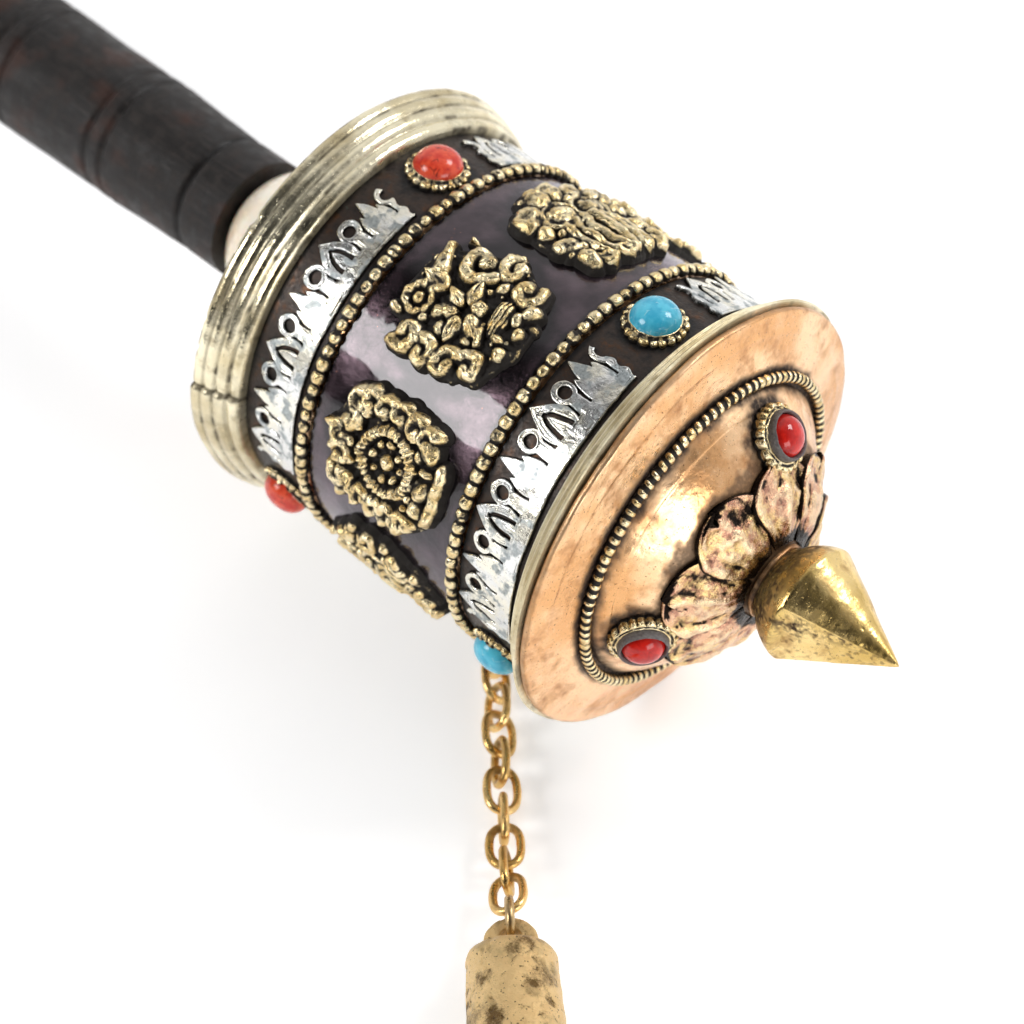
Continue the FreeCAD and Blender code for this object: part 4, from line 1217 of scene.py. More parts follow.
def fish_design(r):
    """Two bodies side by side: bosses for the heads, long ridges, and heavy lobes round the edge."""
    for side in (-1, 1):
        head = 2.4
        r.dome(head, side * 3.3, 2.7, 1.95, 0.95, 20 * side)
        r.ring(head, side * 3.3, 3.3, 0.6, 1.4)
        r.dome(head + 0.6, side * 2.8, 0.9, 2.1)
        for k in range(3):
            wide = side * (0.9 + 1.9 * k)
            path = [(0.6 - 0.3 * k, wide), (-2.6, wide + side * 0.9),
                    (-6.0, wide + side * 0.4), (-9.4, wide - side * 0.5)]
            r.stroke(path, 1.05, 1.85 - 0.12 * k, 0.75)
        for k in range(2):
            r.leaf(-7.4, side * (2.6 + 3.2 * k), 165 - side * 18 * (k - 0.5), 3.4, 1.7, 1.7, 0.3)
    for k in range(5):
        spread = -7.4 + 3.7 * k
        r.dome(8.1 - 0.05 * spread**2, spread, 2.6, 2.0, 0.86, 15 * k)
        r.dome(5.6 - 0.04 * spread**2, spread * 0.86 + 1.1, 1.2, 1.4)
    for side in (-1, 1):
        r.lumps([(4.6 - 3.9 * k, side * (8.7 - 0.2 * k)) for k in range(4)], 2.2, 1.9)
        r.lumps([(2.8 - 3.6 * k, side * 6.6) for k in range(4)], 1.2, 1.4)


def parasol_design(r):
    for k in range(-4, 5):
        path = [(6.6, 0.25 * k), (4.6, 0.95 * k), (1.6, 1.45 * k)]
        r.stroke(path, 0.78, 1.9 - 0.08 * abs(k), 0.62)
        r.dome(0.6, 1.5 * k, 0.72, 1.3)
    r.stroke([(1.5, -6.4), (1.0, 0), (1.5, 6.4)], 0.7, 1.6)
    r.stroke([(0.5, 0), (-8.8, 0)], 0.65, 1.5)
    r.dome(7.6, 0, 1.1, 1.9)
    for side in (-1, 1):
        r.curl(-4.2, side * 2.2, 1.5, 90, side)
    r.ribbons([(0.2, 5.4), (-3.5, 4.1), (-5.6, 5.6), (-8.4, 4.4)], 0.65)
    r.scroll_border(9, 0.77, 1.9, 20)


def vase_design(r):
    r.dome(-1.2, 0, 4.3, 1.95, 0.92)
    for k in range(-2, 3):
        r.groove([(2.2, 0.9 * k), (-1.2, 1.5 * k), (-4.8, 0.9 * k)], 0.25, 0.5)
    r.stroke([(3.0, -1.6), (3.2, 0), (3.0, 1.6)], 0.8, 1.8)
    r.stroke([(4.8, -2.4), (5.0, 0), (4.8, 2.4)], 0.75, 1.7)
    r.leaf(5.4, 0, 0, 4.6, 1.5, 1.8)
    for side in (-1, 1):
        r.leaf(5.2, side * 0.9, 35 * side, 3.8, 0.9, 1.5)
    r.ribbons([(4.2, 2.6), (2.2, 5.2), (-1.8, 6.0), (-5.4, 4.4)])
    for k in range(-2, 3):
        r.leaf(-5.0, 1.1 * k, 180 - 20 * k, 3.4, 1.0, 1.5)
    r.scroll_border(9, 0.78, 1.75, 0)


def conch_design(r):
    r.stroke(curl_path(0.6, 0.2, 5.0, 200, 1, 2.0, 0.9, 40), 1.5, 1.95, 0.4)
    for k in range(7):
        angle = math.radians(200 + 36 * k)
        r.groove([polar(0.6, 0.2, reach, angle) for reach in (3.6, 6.2)], 0.25, 0.5)
    r.leaf(-3.6, -1.5, 190, 5.6, 1.9, 1.8)
    r.scroll_border(9, 0.78, 1.6, 10)


def knot_design(r):
    for k in (-1, 0, 1):
        for side in (-1, 1):
            path = [(end + 2.3 * k, side * (end - 2.3 * k)) for end in (-3.4, 3.4)]
            r.stroke(path, 0.66, 1.7)
            r.groove(path, 0.16, 0.45)
    for side in (-1, 1):
        for k in (-1, 1):
            r.curl(side * 4.9, k * 2.2, 1.5, 90 * k, side, 0.55, 1.5, 0.8)
            r.curl(side * 1.6, k * 5.4, 1.4, 0, side * k, 0.55, 1.5, 0.8)
    r.scroll_border(8, 0.79, 1.8, 22)


def banner_design(r):
    for k in range(4):
        wide = 3.9 - 0.25 * k
        r.stroke([(4.6 - 3.1 * k, -wide), (4.9 - 3.1 * k, 0), (4.6 - 3.1 * k, wide)], 0.95, 1.8)
        for j in range(-3, 4):
            r.dome(3.1 - 3.1 * k, 1.15 * j, 0.5, 1.25)
    r.dome(7.3, 0, 2.0, 1.9, 0.9)
    r.leaf(8.2, 0, 0, 3.4, 0.9, 1.7)
    r.ribbons([(5.6, 3.6), (2.0, 5.8), (-2.4, 5.0), (-7.2, 6.2)])
    r.scroll_border(8, 0.8, 1.7, 0)


DESIGNS = {
    "medallion_parasol": parasol_design,
    "medallion_fish": fish_design,
    "medallion_lotus": lotus_design,
    "medallion_wheel": wheel_design,
    "medallion_vase": vase_design,
    "medallion_conch": conch_design,
    "medallion_knot": knot_design,
    "medallion_banner": banner_design,
}


def make_medallions():
    for seed, (node, design) in enumerate(DESIGNS.items(), 1):
        points = node_points(node)
        low, high = points[:, 0].min(), points[:, 0].max()
        angle = angle_of(points)
        spread = np.abs(away(turn_of(points), angle)).max()
        relief = Relief((high - low) / 2, spread * LACQUER[2], MEDALLION_CELL, seed)
        design(relief)
        relief.cast(f"{node}_cast", node, on_drum((low + high) / 2, angle, LACQUER[2]))


# Shares of a strip's width: its running bar, its stems and the centres of its rings.
FRET_BAR, FRET_STEM, FRET_RING = 0.28, 0.62, 0.68
# Radii in mm of a ring's outside and hole.
RING_OUTSIDE, RING_HOLE = 1.95, 0.95


def fret_gap(up, right, width, length):
    """Signed distance of the pierced strip: lotus petals and rings that hang from a running bar.

    Broad petals with a tongue cut in them take turns with narrow ones between two short leaves.
    """
    units = 6
    pitch = length / units
    bar = FRET_BAR * width
    gap = up - bar + 0.12 * np.sin(right * 1.9)

    def petal(centre, root, tip, half, tongue=0.0):
        """Joins a pointed petal to the plate; a slot whose two legs meet at the tip frees its tongue."""
        nonlocal gap
        along = np.clip((up / width - root) / (tip - root), 0, 1)
        across = np.abs(right - centre)
        shape = half * np.sin(np.pi * (0.22 + 0.78 * along) ** 1.15)
        gap = np.minimum(gap, np.maximum(across - shape, up - tip * width))
        if tongue:
            leg = tongue * np.sqrt(1 - np.clip((along - 0.1) / 0.6, 0, 1) ** 2)
            slot = np.minimum(0.28 - np.abs(across - leg), (0.74 - along) * (tip - root) * width)
            gap = np.maximum(gap, np.minimum(slot, up - bar - 0.1))

    for k in range(units + 1):
        edge = -length / 2 + pitch * k
        stem = path_share(up, right, [(0.2 * width, edge), (FRET_STEM * width, edge)], 1.3, 1.1)[1]
        far = np.hypot((up - FRET_RING * width) * 0.9, right - edge)
        gap = np.minimum(gap, np.minimum(stem, far - RING_OUTSIDE))
        gap = np.maximum(gap, RING_HOLE - far)
    for k in range(units):
        centre = -length / 2 + pitch * (k + 0.5)
        if k % 2:
            for side in (-1, 1):
                petal(centre + side * 1.75, 0.1, 0.72, 1.05)
            petal(centre, 0.1, 1.0, 1.5)
        else:
            petal(centre, 0.06, 1.0, 2.9, 1.3)
    end = np.abs(right) - length / 2 + 0.25 * np.sin(up * 2.3)
    return np.maximum(gap, end)


def make_fretwork(node, band, seed, reach):
    """Pierced silvered strips between the stones, engraved and rubbed through in places.

    reach is how far the petals' tips run on past the CAD strip.
    """
    low, high = (corner.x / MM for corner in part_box(node))
    ground = stations(band)[2]
    thickness = stations(node)[2] - ground
    width = high - low + reach
    for number, points in enumerate(islands(node), 1):
        angle = angle_of(points)
        length = 2 * np.abs(away(turn_of(points), angle)).max() * ground
        margin = 0.3
        ups = np.arange(-margin, width + margin, STRIP_CELL)
        rights = np.arange(-length / 2 - margin, length / 2 + margin, STRIP_CELL)
        up, right = np.meshgrid(ups, rights, indexing="ij")
        place = flat_points(up, right, seed + number * 9.0)
        warp = rough(place, 3.2, seed + 3, 2) * 0.16
        gap = fret_gap(up + warp, right + rough(place, 3.4, seed + 8, 2) * 0.26, width, length)
        top = -up + 0.15 * noise(place, 4.0, seed + 12)
        gap = np.maximum(gap, np.maximum(top, up - width)) + noise(place, 0.6, seed) * 0.04
        face = ease(0.12, -0.16, gap)
        dent = rough(place, 1.8, seed + 4, 3) * 0.06 - 0.05
        line = hump(gap + 0.5, 0.075) * ease(0.1, 0.5, noise(place, 3.0, seed + 6))
        height = face * (thickness + dent - 0.14 * line) - 0.25 * (1 - face)
        wear_and_shade = ease(-0.02, -0.2, gap) * (1 - 0.8 * line)
        raised_sheet(f"{node}_strip_{number}", node, up, right, height, 0.45,
                     on_drum(high, angle, ground), gap < 0.3, wear_and_shade)


# ---------------------------------------------------------------- stones and bezels


def fittings(node):
    """Number, placing frame, local points, height and radius of each round solid of a node."""
    for number, points in enumerate(islands(node), 1):
        foot, axis, height, radius = standing_axis(points)
        at = frame_at(foot, axis)
        yield number, at, (points - foot) @ at[0], height, radius


def make_bezels(name, node, flutes, seed, rise, lip):
    """Scalloped settings: a ring of lumps round the foot and a thin wall bent in against the stone.

    rise and lip are the shares of the CAD height that the lumps and the thin wall reach.
    """
    for number, at, local, height, radius in fittings(node):
        inner = np.hypot(local[:, 0], local[:, 1]).min()
        wall = radius - inner
        top = height * rise
        line = resample([(inner, -0.5), (radius, -0.5), (radius, top * 0.55),
                         (radius - wall * 0.18, top * 0.9), (radius - wall * 0.45, top),
                         (inner + wall * 0.42, top * 0.8), (inner + wall * 0.26, top * 0.86),
                         (inner + wall * 0.16, height * lip * 0.98), (inner - 0.02, height * lip),
                         (inner - 0.05, height * 0.3)], 0.11, 1, True)
        steps = flutes * 14
        angle = round_turn(steps)
        bent = angle + 0.05 * np.sin(3 * angle + number) + 0.03 * np.sin(7 * angle)
        lobe = np.abs(np.cos(flutes * bent / 2)) ** 0.55
        out = ease(inner + wall * 0.3, radius, line[:, :1])
        spread = line[:, :1] - 0.55 * (1 - lobe) * out
        height_here = line[:, 1:2] - 0.5 * (1 - lobe) * out * ease(0, top * 0.5, line[:, 1:2])
        made = about_z(spread, height_here, angle)
        place = made + np.array([number * 31.0, seed, 0])
        made = made + (noise(place, 0.8, seed) * 0.09)[..., None]
        wear_and_shade = (0.2 + 0.8 * lobe) * (0.5 + 0.5 * out) * (0.9 + 0.5 * noise(place, 0.7, seed + 2))
        tip = ease(lip * height * 0.85, lip * height, line[:, 1:2])
        wear_and_shade = np.maximum(wear_and_shade, 0.75 * tip * np.ones(steps))
        wear_and_shade = wear_and_shade * ease(-0.3, 0.25, line[:, 1:2])
        add_piece(f"{name}_{number}", placed(made, at), grid_faces(len(line), steps, True), node,
                  {"wear_and_shade": wear_and_shade})


# Points round a stone or a ring of pitch.
STONE_STEPS = 72


def make_stones(name, node, seed):
    """Cabochons: domed, a little uneven, each closed under its girdle."""
    for number, at, local, height, radius in fittings(node):
        wide = np.hypot(local[:, 0], local[:, 1]) > radius * 0.98
        girdle = local[wide, 2].max()
        spots = np.linspace(0, math.pi / 2, 26)
        dome = np.stack([radius * np.cos(spots) ** 0.92, girdle + (height - girdle) * np.sin(spots)], -1)
        dome[-1, 0] = 0.02
        dome[:, 1] = girdle * 0.45 + (dome[:, 1] - girdle) * (height - girdle * 0.45) / (height - girdle)
        line = np.vstack([[(0.02, 0.0), (radius * 0.9, 0.0), (radius, girdle * 0.3)], dome])
        made = spun(line, STONE_STEPS)
        place = made + np.array([number * 17.0, seed, 0])
        swell = 1 + 0.014 * noise(place, 2.6, seed) * ease(0, girdle, made[..., 2])
        made = made * swell[..., None]
        faces = grid_faces(len(line), STONE_STEPS)
        last = (len(line) - 1) * STONE_STEPS
        faces += [list(range(STONE_STEPS))[::-1], list(range(last, last + STONE_STEPS))]
        add_piece(f"{name}_{number}", placed(made, at), faces, node, None, 60)


def make_pitch_rings():
    """The grey setting pitch that shows between each lid coral and its bezel."""
    for number, at, local, height, radius in fittings("lid_pitch_rings"):
        inner = np.hypot(local[:, 0], local[:, 1]).min()
        middle = (inner + radius) / 2
        line = resample([(inner - 0.05, 0), (radius, 0), (radius, height * 1.05), (middle, height * 1.35),
                         (inner - 0.05, height * 1.15)], 0.12, 1, True)
        made = spun(line, STONE_STEPS)
        made = made + (noise(made + number * 13.0, 0.9, 6) * 0.06)[..., None]
        faces = grid_faces(len(line), STONE_STEPS, True)
        add_piece(f"lid_pitch_ring_{number}", placed(made, at), faces, "lid_pitch_rings")


# ---------------------------------------------------------------- lid and finial

LID_STONES = [standing_axis(points) for points in islands("lid_bezels")]


def make_lid_brim():
    """A shallow cone with a rolled, slightly wavy edge and a flat that the rope ring stands on."""
    start, seat, radius = stations("lid_brim")
    rope_radius = stations("rope_ring")[2]
    hole = inner_radius("lid_brim")
    roll = 0.75
    rim = np.array([(start + roll - roll * math.cos(a), radius - roll + roll * math.sin(a))
                    for a in np.linspace(0, 0.75 * math.pi, 14)])
    cone = resample([rim[-1], (seat, rope_radius), (seat, hole)], 0.4, 1)
    under = np.array([(seat - 0.8, hole), (seat - 0.8, rope_radius), (start + roll, radius - 2.2 * roll)])
    loop = np.vstack([rim, cone[1:], under])

    def shape(points):
        angle = turn_of(points)
        outer = ease(rope_radius - 1, radius - 2, radius_of(points))
        hammer = rough(points, 8, 91) * 0.14
        wave = 0.16 * np.sin(3 * angle + 1.0) + 0.10 * np.sin(7 * angle)
        ring = 0.12 * hump(radius_of(points) - (radius - 3.4), 0.35)
        moved = shift_along(points, outer * (wave * 0.6 + hammer) + ring)
        return shift_out(moved, outer * rough(points, 12, 93, 2) * 0.14)

    # Painted shade on the flat next to the rope ring; a fainter dark stain along the rolled edge.
    def grime(points):
        gap = radius_of(points) - rope_radius + rough(points, 2.2, 95, 3) * 0.35
        edge_gap = radius - radius_of(points) + noise(points, 1.4, 96) * 0.2
        return {"grime": np.maximum(ease(1.0, -0.1, gap) * ease(start + 0.6, seat - 0.4, points[..., 0]),
                                    ease(0.35, 0.05, edge_gap) * 0.35)}

    turned_piece("lid_brim_spun", "lid_brim", loop, 480, shape, 50, grime)


def petal_half_width(share):
    """Half width of a lotus petal, as an angle, along its length from root (0) to tip (1)."""
    swell = 0.50 + 0.62 * np.sin(np.pi * (0.12 + 0.62 * share))
    rounded = np.sqrt(np.clip(1 - np.clip(share - 0.45, 0, 1) ** 2.6 / 0.55**2.6, 0, 1))
    return np.radians(26) * swell * rounded


def dome_arc():
    """Centre, radius and end slopes of the dome's outside arc, found from three of its points."""
    line = outer_line("lid_dome")
    line = line[line[:, 0] > line[0, 0] + 1.0]
    matrix = np.column_stack([2 * line, np.ones(len(line))])
    solved = np.linalg.lstsq(matrix, (line**2).sum(axis=1), rcond=None)[0]
    centre = solved[:2]
    radius = math.sqrt(solved[2] + centre @ centre)
    slopes = np.arctan2(line[:, 1] - centre[1], line[:, 0] - centre[0])
    return centre, radius, slopes.max(), slopes.min()


ARC_CENTRE, ARC_RADIUS, ARC_FOOT, ARC_TOP = dome_arc()


def on_dome(slope, angle, lift):
    """Row-frame points on the dome, lifted off it along its normal."""
    reach = ARC_RADIUS + lift
    return about_axis(ARC_CENTRE[0] + reach * np.cos(slope), ARC_CENTRE[1] + reach * np.sin(slope), angle)


# Number of petals and angle of the first, as in the CAD ring of petals.
PETALS = 8
PETAL_TURN = math.radians(27)


def rosette_slopes():
    """Slopes of the petals' roots and tips; the tips are drawn out past the CAD ring of petals."""
    points = node_points("lotus_rosette")
    slopes = np.arctan2(radius_of(points) - ARC_CENTRE[1], points[:, 0] - ARC_CENTRE[0])
    return slopes.min(), slopes.max() + math.radians(6.5)


ROSETTE_ROOT, ROSETTE_TIP = rosette_slopes()


def make_lid_dome():
    """The spun dome: a step at its foot, soft dents, painted shadow at its foot inside the rope ring and
    under the petals, and dark patina in stains and round the fittings.
    """
    foot_x = stations("lid_dome")[0]
    slopes = np.linspace(ARC_FOOT, ARC_TOP, 110)
    arc = on_dome(slopes, np.zeros(110), 0)[:, :2]
    ledge = 0.22 * ease(0, 1, (arc[:, 1] - arc[0, 1] + 1.9) / 0.35)
    arc[:, 0] += ledge - 0.22
    inside = on_dome(slopes[::-10], np.zeros(len(slopes[::-10])), -0.9)[:, :2]
    loop = np.vstack([[(foot_x, arc[0, 1])], arc, inside, [(foot_x, inside[-1, 1])]])
    tip = ARC_CENTRE[1] + ARC_RADIUS * math.sin(ROSETTE_TIP)

    def shape(points):
        skin = ease(-0.5, -0.1, np.hypot(points[..., 0] - ARC_CENTRE[0], radius_of(points) - ARC_CENTRE[1])
                    - ARC_RADIUS)
        dent = rough(points, 9, 101) * 0.16 + noise(points, 3, 103) * 0.04
        return shift_along(points, dent * skin)

    def grime(points):
        out = radius_of(points)
        wander = rough(points, 1.8, 105, 3)
        stain = rough(points, 6, 107, 3)
        # Painted shadow at the foot, inside the rope ring.
        dark = ease(1.3, -0.2, arc[0, 1] - out + wander * 0.4)
        # Painted shade under the petals and just past their tips.
        dark = np.maximum(dark, ease(tip + 1.2, tip + 0.1, out + wander * 0.8) * 0.75)
        dark = np.maximum(dark, 0.55 * ease(0.35, 0.8, stain) * ease(6.0, 1.0, arc[0, 1] - out))
        for foot, _, _, radius in LID_STONES:
            gap = np.linalg.norm(points - foot, axis=-1) - radius
            dark = np.maximum(dark, ease(2.6, 0.1, gap + wander * 0.9 + stain * 0.7))
        return {"grime": dark}

    turned_piece("lid_dome_spun", "lid_dome", loop, 420, shape, 50, grime)


def make_rosette():
    """Overlapping lotus petals: each a dished spoon with a thick curled rim, a rib and a creased tip."""
    for k in range(PETALS):
        middle = TURN * k / PETALS + PETAL_TURN
        rows, columns = 70, 64
        share, side = np.meshgrid(np.linspace(0, 1, rows), np.linspace(-1, 1, columns), indexing="ij")
        place = flat_points(share * 14, side * 8, k * 11.0)
        notch = 0.07 * hump(side - 0.15, 0.12) * ease(0.8, 1, share)
        reach = 1 + 0.06 * rough(place, 5, 111, 2) - notch
        slope = ROSETTE_ROOT + (ROSETTE_TIP - ROSETTE_ROOT) * np.clip(share * reach, 0, 1.06)
        half = petal_half_width(share) * (1 + 0.10 * noise(place, 3.6, 113))
        angle = middle + side * half
        edge = 1 - np.maximum(np.abs(side) ** 3, ease(0.8, 1.0, share))
        bowl = 0.75 * (1 - side**2) * np.sin(np.pi * np.clip(share, 0, 1) ** 0.8)
        curl = np.maximum(ease(0.66, 0.90, np.abs(side)), ease(0.80, 0.95, share)) * ease(0.12, 0.4, share)
        roll = 0.42 * curl * ease(1.0, 0.94, np.maximum(np.abs(side), share))
        hollow = -0.30 * hump(np.maximum(np.abs(side), share - 0.1) - 0.58, 0.10) * ease(0.1, 0.4, share)
        rib = 0.34 * hump(side - 0.1 * np.sin(share * 4 + k), 0.11) * ease(0.1, 0.3, share)
        fold = 0.34 * hump(share - 0.62 - 0.12 * side, 0.06) * (0.5 + 0.5 * noise(place, 4, 115 + k))
        crumple = rough(place, 2.4, 117, 3) * 0.24
        overlap = 0.34 * (side + 1) * ease(0.05, 0.35, share)
        lift = 0.30 + overlap + bowl + roll + hollow + rib + fold + crumple * ease(0.0, 0.3, share)
        lift = np.clip(lift, 0.12, 1.9)
        front = on_dome(slope, angle, lift)
        back = on_dome(slope, angle, np.maximum(lift - 0.9, -0.12) * (0.3 + 0.7 * edge))
        cavity = lift - blurred(lift, 3)
        wear_and_shade = 0.42 + 2.6 * cavity + 0.32 * ease(0.5, 1.6, lift)
        wear_and_shade = wear_and_shade - 0.5 * ease(0.22, 0.0, share) + 0.2 * crumple
        # Painted shade along each petal's edges and tip, in the crevice where it meets the next petal.
        wear_and_shade = wear_and_shade - 0.9 * ease(0.88, 0.97, np.maximum(np.abs(side), share))
        faces = sheet_faces(np.ones((rows - 1, columns - 1), bool))[:, ::-1]
        points = np.concatenate([front.reshape(-1, 3), back.reshape(-1, 3)])
        add_piece(f"lotus_petal_{k + 1}", points, faces.tolist(), "lotus_rosette",
                  {"wear_and_shade": face_paint(wear_and_shade)}, 80)


def make_neck_collar():
    start, end, radius = stations("neck_collar")
    hole = inner_radius("neck_collar")
    loop = resample([(start, hole), (start, radius), (end, radius), (end, hole)], 0.15, 2, True)

    def shape(points):
        ragged = ease(hole + 1, radius, radius_of(points)) * rough(points, 2.4, 121, 3) * 0.35
        return shift_along(shift_out(points, ragged), rough(points, 3.0, 123, 2) * 0.08)

    turned_piece("neck_collar_cut", "neck_collar", loop, 120, shape, 60,
                 lambda points: {"grime": 0.35 + 0.5 * ease(-0.3, 0.5, rough(points, 1.8, 125, 3))})


def make_finial():
    """The cast and turned cone: a facet filed down one side, pits, and a soft ridge."""
    outside = outer_line("finial")
    bore = stations("axle")[2] + 0.05
    end = outside[-1, 0]
    line = resample(np.vstack([outside[:-1], [[end, 0.03]]]), 0.2, 1)
    bore_end = stations("axle")[1] + 0.3
    loop = np.vstack([[[outside[0, 0], bore]], line, [[bore_end, 0.03], [bore_end, bore]]])
    ridge = outside[np.argmax(outside[:, 1])]
    # The filed facet's middle and half width, as angles.
    facet, half = math.radians(178), math.radians(38)

    def shape(points):
        radius = radius_of(points)
        skin = ease(bore + 0.6, bore + 1.4, radius)
        cone = ease(ridge[0] - 0.2, ridge[0] + 1.0, points[..., 0])
        gap = away(turn_of(points), facet)
        flat = radius * (1 - math.cos(half) / np.maximum(np.cos(np.clip(gap, -half, half)), 0.3))
        flat = np.where(np.abs(gap) < half, flat, 0)
        dent = rough(points, 5, 131, 3) * 0.10 + noise(points, 1.3, 133) * 0.03
        pit = -0.16 * ease(0.62, 0.8, noise(points, 0.8, 135)) * ease(-0.1, 0.3, noise(points, 4, 137))
        return shift_out(points, skin * (dent + pit) - cone * flat * 0.85)

    def grime(points):
        neck = ease(ridge[0] + 0.1, ridge[0] - 2.6, points[..., 0])
        gap = away(turn_of(points), facet)
        share = (points[..., 0] - ridge[0]) / (end - ridge[0])
        band = hump(gap + half - 0.30 + 0.55 * np.clip(share, 0, 1), 0.30)
        specks = ease(-0.25, 0.35, rough(points, 0.55, 143, 2))
        specks = specks * ease(-0.5, 0.2, rough(points, 2.6, 139, 2))
        crease = hump(gap + half, 0.03)
        under = 0.85 * specks * band * (1 - crease)
        pocks = 0.5 * ease(0.25, 0.6, rough(points, 0.6, 145, 2))
        under = under + pocks * ease(half * 1.3, half * 0.6, np.abs(gap))
        neck = neck * (0.35 + 0.6 * ease(-0.3, 0.3, rough(points, 0.7, 141, 3)))
        return {"grime": np.clip(neck + under, 0, 1)}

    turned_piece("finial_cone", "finial", loop, 300, shape, 24, grime)


# ---------------------------------------------------------------- inside the drum


def make_paper_roll():
    """One long strip wound round its core, so both ends show the turns of paper."""
    start, end, radius = stations("paper_scroll")
    hole = inner_radius("paper_scroll")
    turns, per_turn = 42, 64
    angle = np.linspace(0, turns * TURN, turns * per_turn + 1)
    pitch = (radius - hole) / turns
    out = np.minimum(hole + pitch * angle / TURN, radius - 0.02)
    slip = 0.35 * noise(np.stack([angle / 2, angle * 0, angle * 0], -1), 3, 151)
    rows = []
    for x, depth in ((start, 0.0), (start, -0.62), (end, -0.62), (end, 0.0)):
        inset = 0.4 + np.abs(slip) if x == end else -0.3
        rows.append(about_axis(x - inset, np.maximum(out + depth * pitch, hole), angle))
    faces = grid_faces(4, len(angle), True, False)
    add_piece("paper_roll_wound", np.stack(rows), faces, "paper_scroll", None, 50)


def make_ties():
    """Two woven bands round the roll, each pulled a little into the paper."""
    for number, points in enumerate(islands("scroll_ties"), 1):
        start, end = points[:, 0].min(), points[:, 0].max()
        radius = radius_of(points).max()
        inner = radius_of(points).min()
        loop = resample([(start, inner), (start, radius), (end, radius), (end, inner)], 0.2, 2, True)

        def shape(made):
            ridge = 0.06 * np.cos((made[..., 0] - start) * 9)
            wander = 0.5 * noise(made, 14, 161 + number)
            moved = shift_out(made, ease(inner, radius, radius_of(made)) * (ridge - 0.12))
            return shift_along(moved, wander)

        turned_piece(f"scroll_tie_{number}", "scroll_ties", loop, 260, shape, 60)


# ---------------------------------------------------------------- chain and weight

# Exponent of the superellipse that a link's wire follows: 2 is an ellipse, more is squarer.
LINK_SQUARENESS = 2.5


def make_links():
    """Each chain link as a smooth oval of round wire, laid along its CAD link's own axes."""
    for node in sorted(name for name in NODES if name.startswith("chain_link")):
        points = node_points(node)
        middle = points.mean(axis=0)
        axes = np.linalg.eigh(np.cov((points - middle).T))[1]
        local = (points - middle) @ axes
        wire, wide, long = np.abs(local).max(axis=0)
        steps, section = 72, 16
        angle = round_turn(steps)
        power = 2 / LINK_SQUARENESS
        c, s = np.cos(angle), np.sin(angle)
        path = np.stack([0 * angle, (wide - wire) * np.sign(s) * np.abs(s) ** power,
                         (long - wire) * np.sign(c) * np.abs(c) ** power], -1)
        path = resample(path, np.ptp(path[:, 2]) * 2.6 / steps, 2, True)
        along = np.roll(path, -1, axis=0) - np.roll(path, 1, axis=0)
        along /= np.linalg.norm(along, axis=1)[:, None]
        side = np.cross(along, [1.0, 0, 0])
        turned = round_turn(section)[None, :, None]
        section_line = np.cos(turned) * np.array([1.0, 0, 0]) + np.sin(turned) * side[:, None]
        ring = path[:, None] + 0.93 * wire * section_line
        made = ring @ axes.T + middle
        made = made + rough(made, 1.6, 181, 2)[..., None] * 0.02
        # Painted shade on the inner side of each link's ends, where the next link hangs in it.
        inside = (np.sin(turned) * side[:, None] * -path[:, None]).sum(-1)
        dark = 0.55 * ease(0.2, 1.6, inside / wire) * ease(0.5, 0.9, np.abs(path[:, None, 2]) / long)
        add_piece(f"{node}_wire", made, grid_faces(len(path), section, True), node, {"grime": dark})


def make_weight():
    """The cast weight: remeshed from its CAD solid, rounded, pitted and dented."""
    draft = linked("weight_draft", NODES["chain_weight"].data.copy())
    remesh = draft.modifiers.new("voxels", "REMESH")
    remesh.mode = "VOXEL"
    remesh.voxel_size = 0.34 * MM
    soften = draft.modifiers.new("soften", "SMOOTH")
    soften.factor, soften.iterations = 0.5, 5
    bpy.context.view_layer.update()
    solid = bpy.data.meshes.new_from_object(draft.evaluated_get(bpy.context.evaluated_depsgraph_get()))
    bpy.data.objects.remove(draft)
    points = np.array([vertex.co for vertex in solid.vertices]) / MM
    normals = np.array([vertex.normal for vertex in solid.vertices])
    broad = rough(points, 5.5, 171, 2) * 0.18
    pits = -0.22 * ease(0.45, 0.8, noise(points, 1.5, 173))
    pits = pits - 0.12 * ease(0.35, 0.7, noise(points, 0.8, 175))
    grain = rough(points, 0.9, 177, 2) * 0.06
    moved = points + normals * (broad + pits + grain - 0.05)[:, None]
    faces = [list(polygon.vertices) for polygon in solid.polygons]
    wear_and_shade = 0.55 + 1.6 * (pits + 0.08) + 0.4 * rough(points, 3, 179)
    add_piece("chain_weight_cast", moved, faces, "chain_weight", {"wear_and_shade": wear_and_shade})


CARRIED_OVER = ["axle", "thrust_washer", "drum_shell", "floor_bush", "lid_skirt", "lid_bush", "scroll_core",
                "chain_staple", "jump_ring"]


def finish_cad_nodes():
    for node in CARRIED_OVER:
        mesh = NODES[node].data
        mesh.materials.clear()
        mesh.materials.append(finish_of(SLOT_OF[node]))


# ---------------------------------------------------------------- floor, light and camera

# The view of the whole object: the camera looks down at a point near the lid.
VIEW_AZIMUTH = 43.4
VIEW_ELEVATION = 50.04
VIEW_DISTANCE = 399.2
VIEW_AIM = (13.45, -17.4, 0.0)
LENS = 91.7
# Softboxes: where each hangs as seen from the drum, its size in mm and its power in watts.
LEFT_LIGHT = (-0.44, -0.73, 0.52)
SOFTBOX_REACH = 900
SOFTBOXES = {
    "softbox_left": (LEFT_LIGHT, (360, 340), 4.0),
    "softbox_right": ((0.35, 0.62, 0.70), (300, 300), 3.2),
    "softbox_front": ((0.95, -0.25, 0.22), (500, 360), 2.4),
}
# The paper's own glow, which stands for light that reaches it from every side.
FLOOR_GLOW = 0.60
FLOOR_HALF = 5000.0
FLOOR_ROWS = 60
# The drum angle, in degrees, that the camera focuses on.
FOCUS_TURN = 125


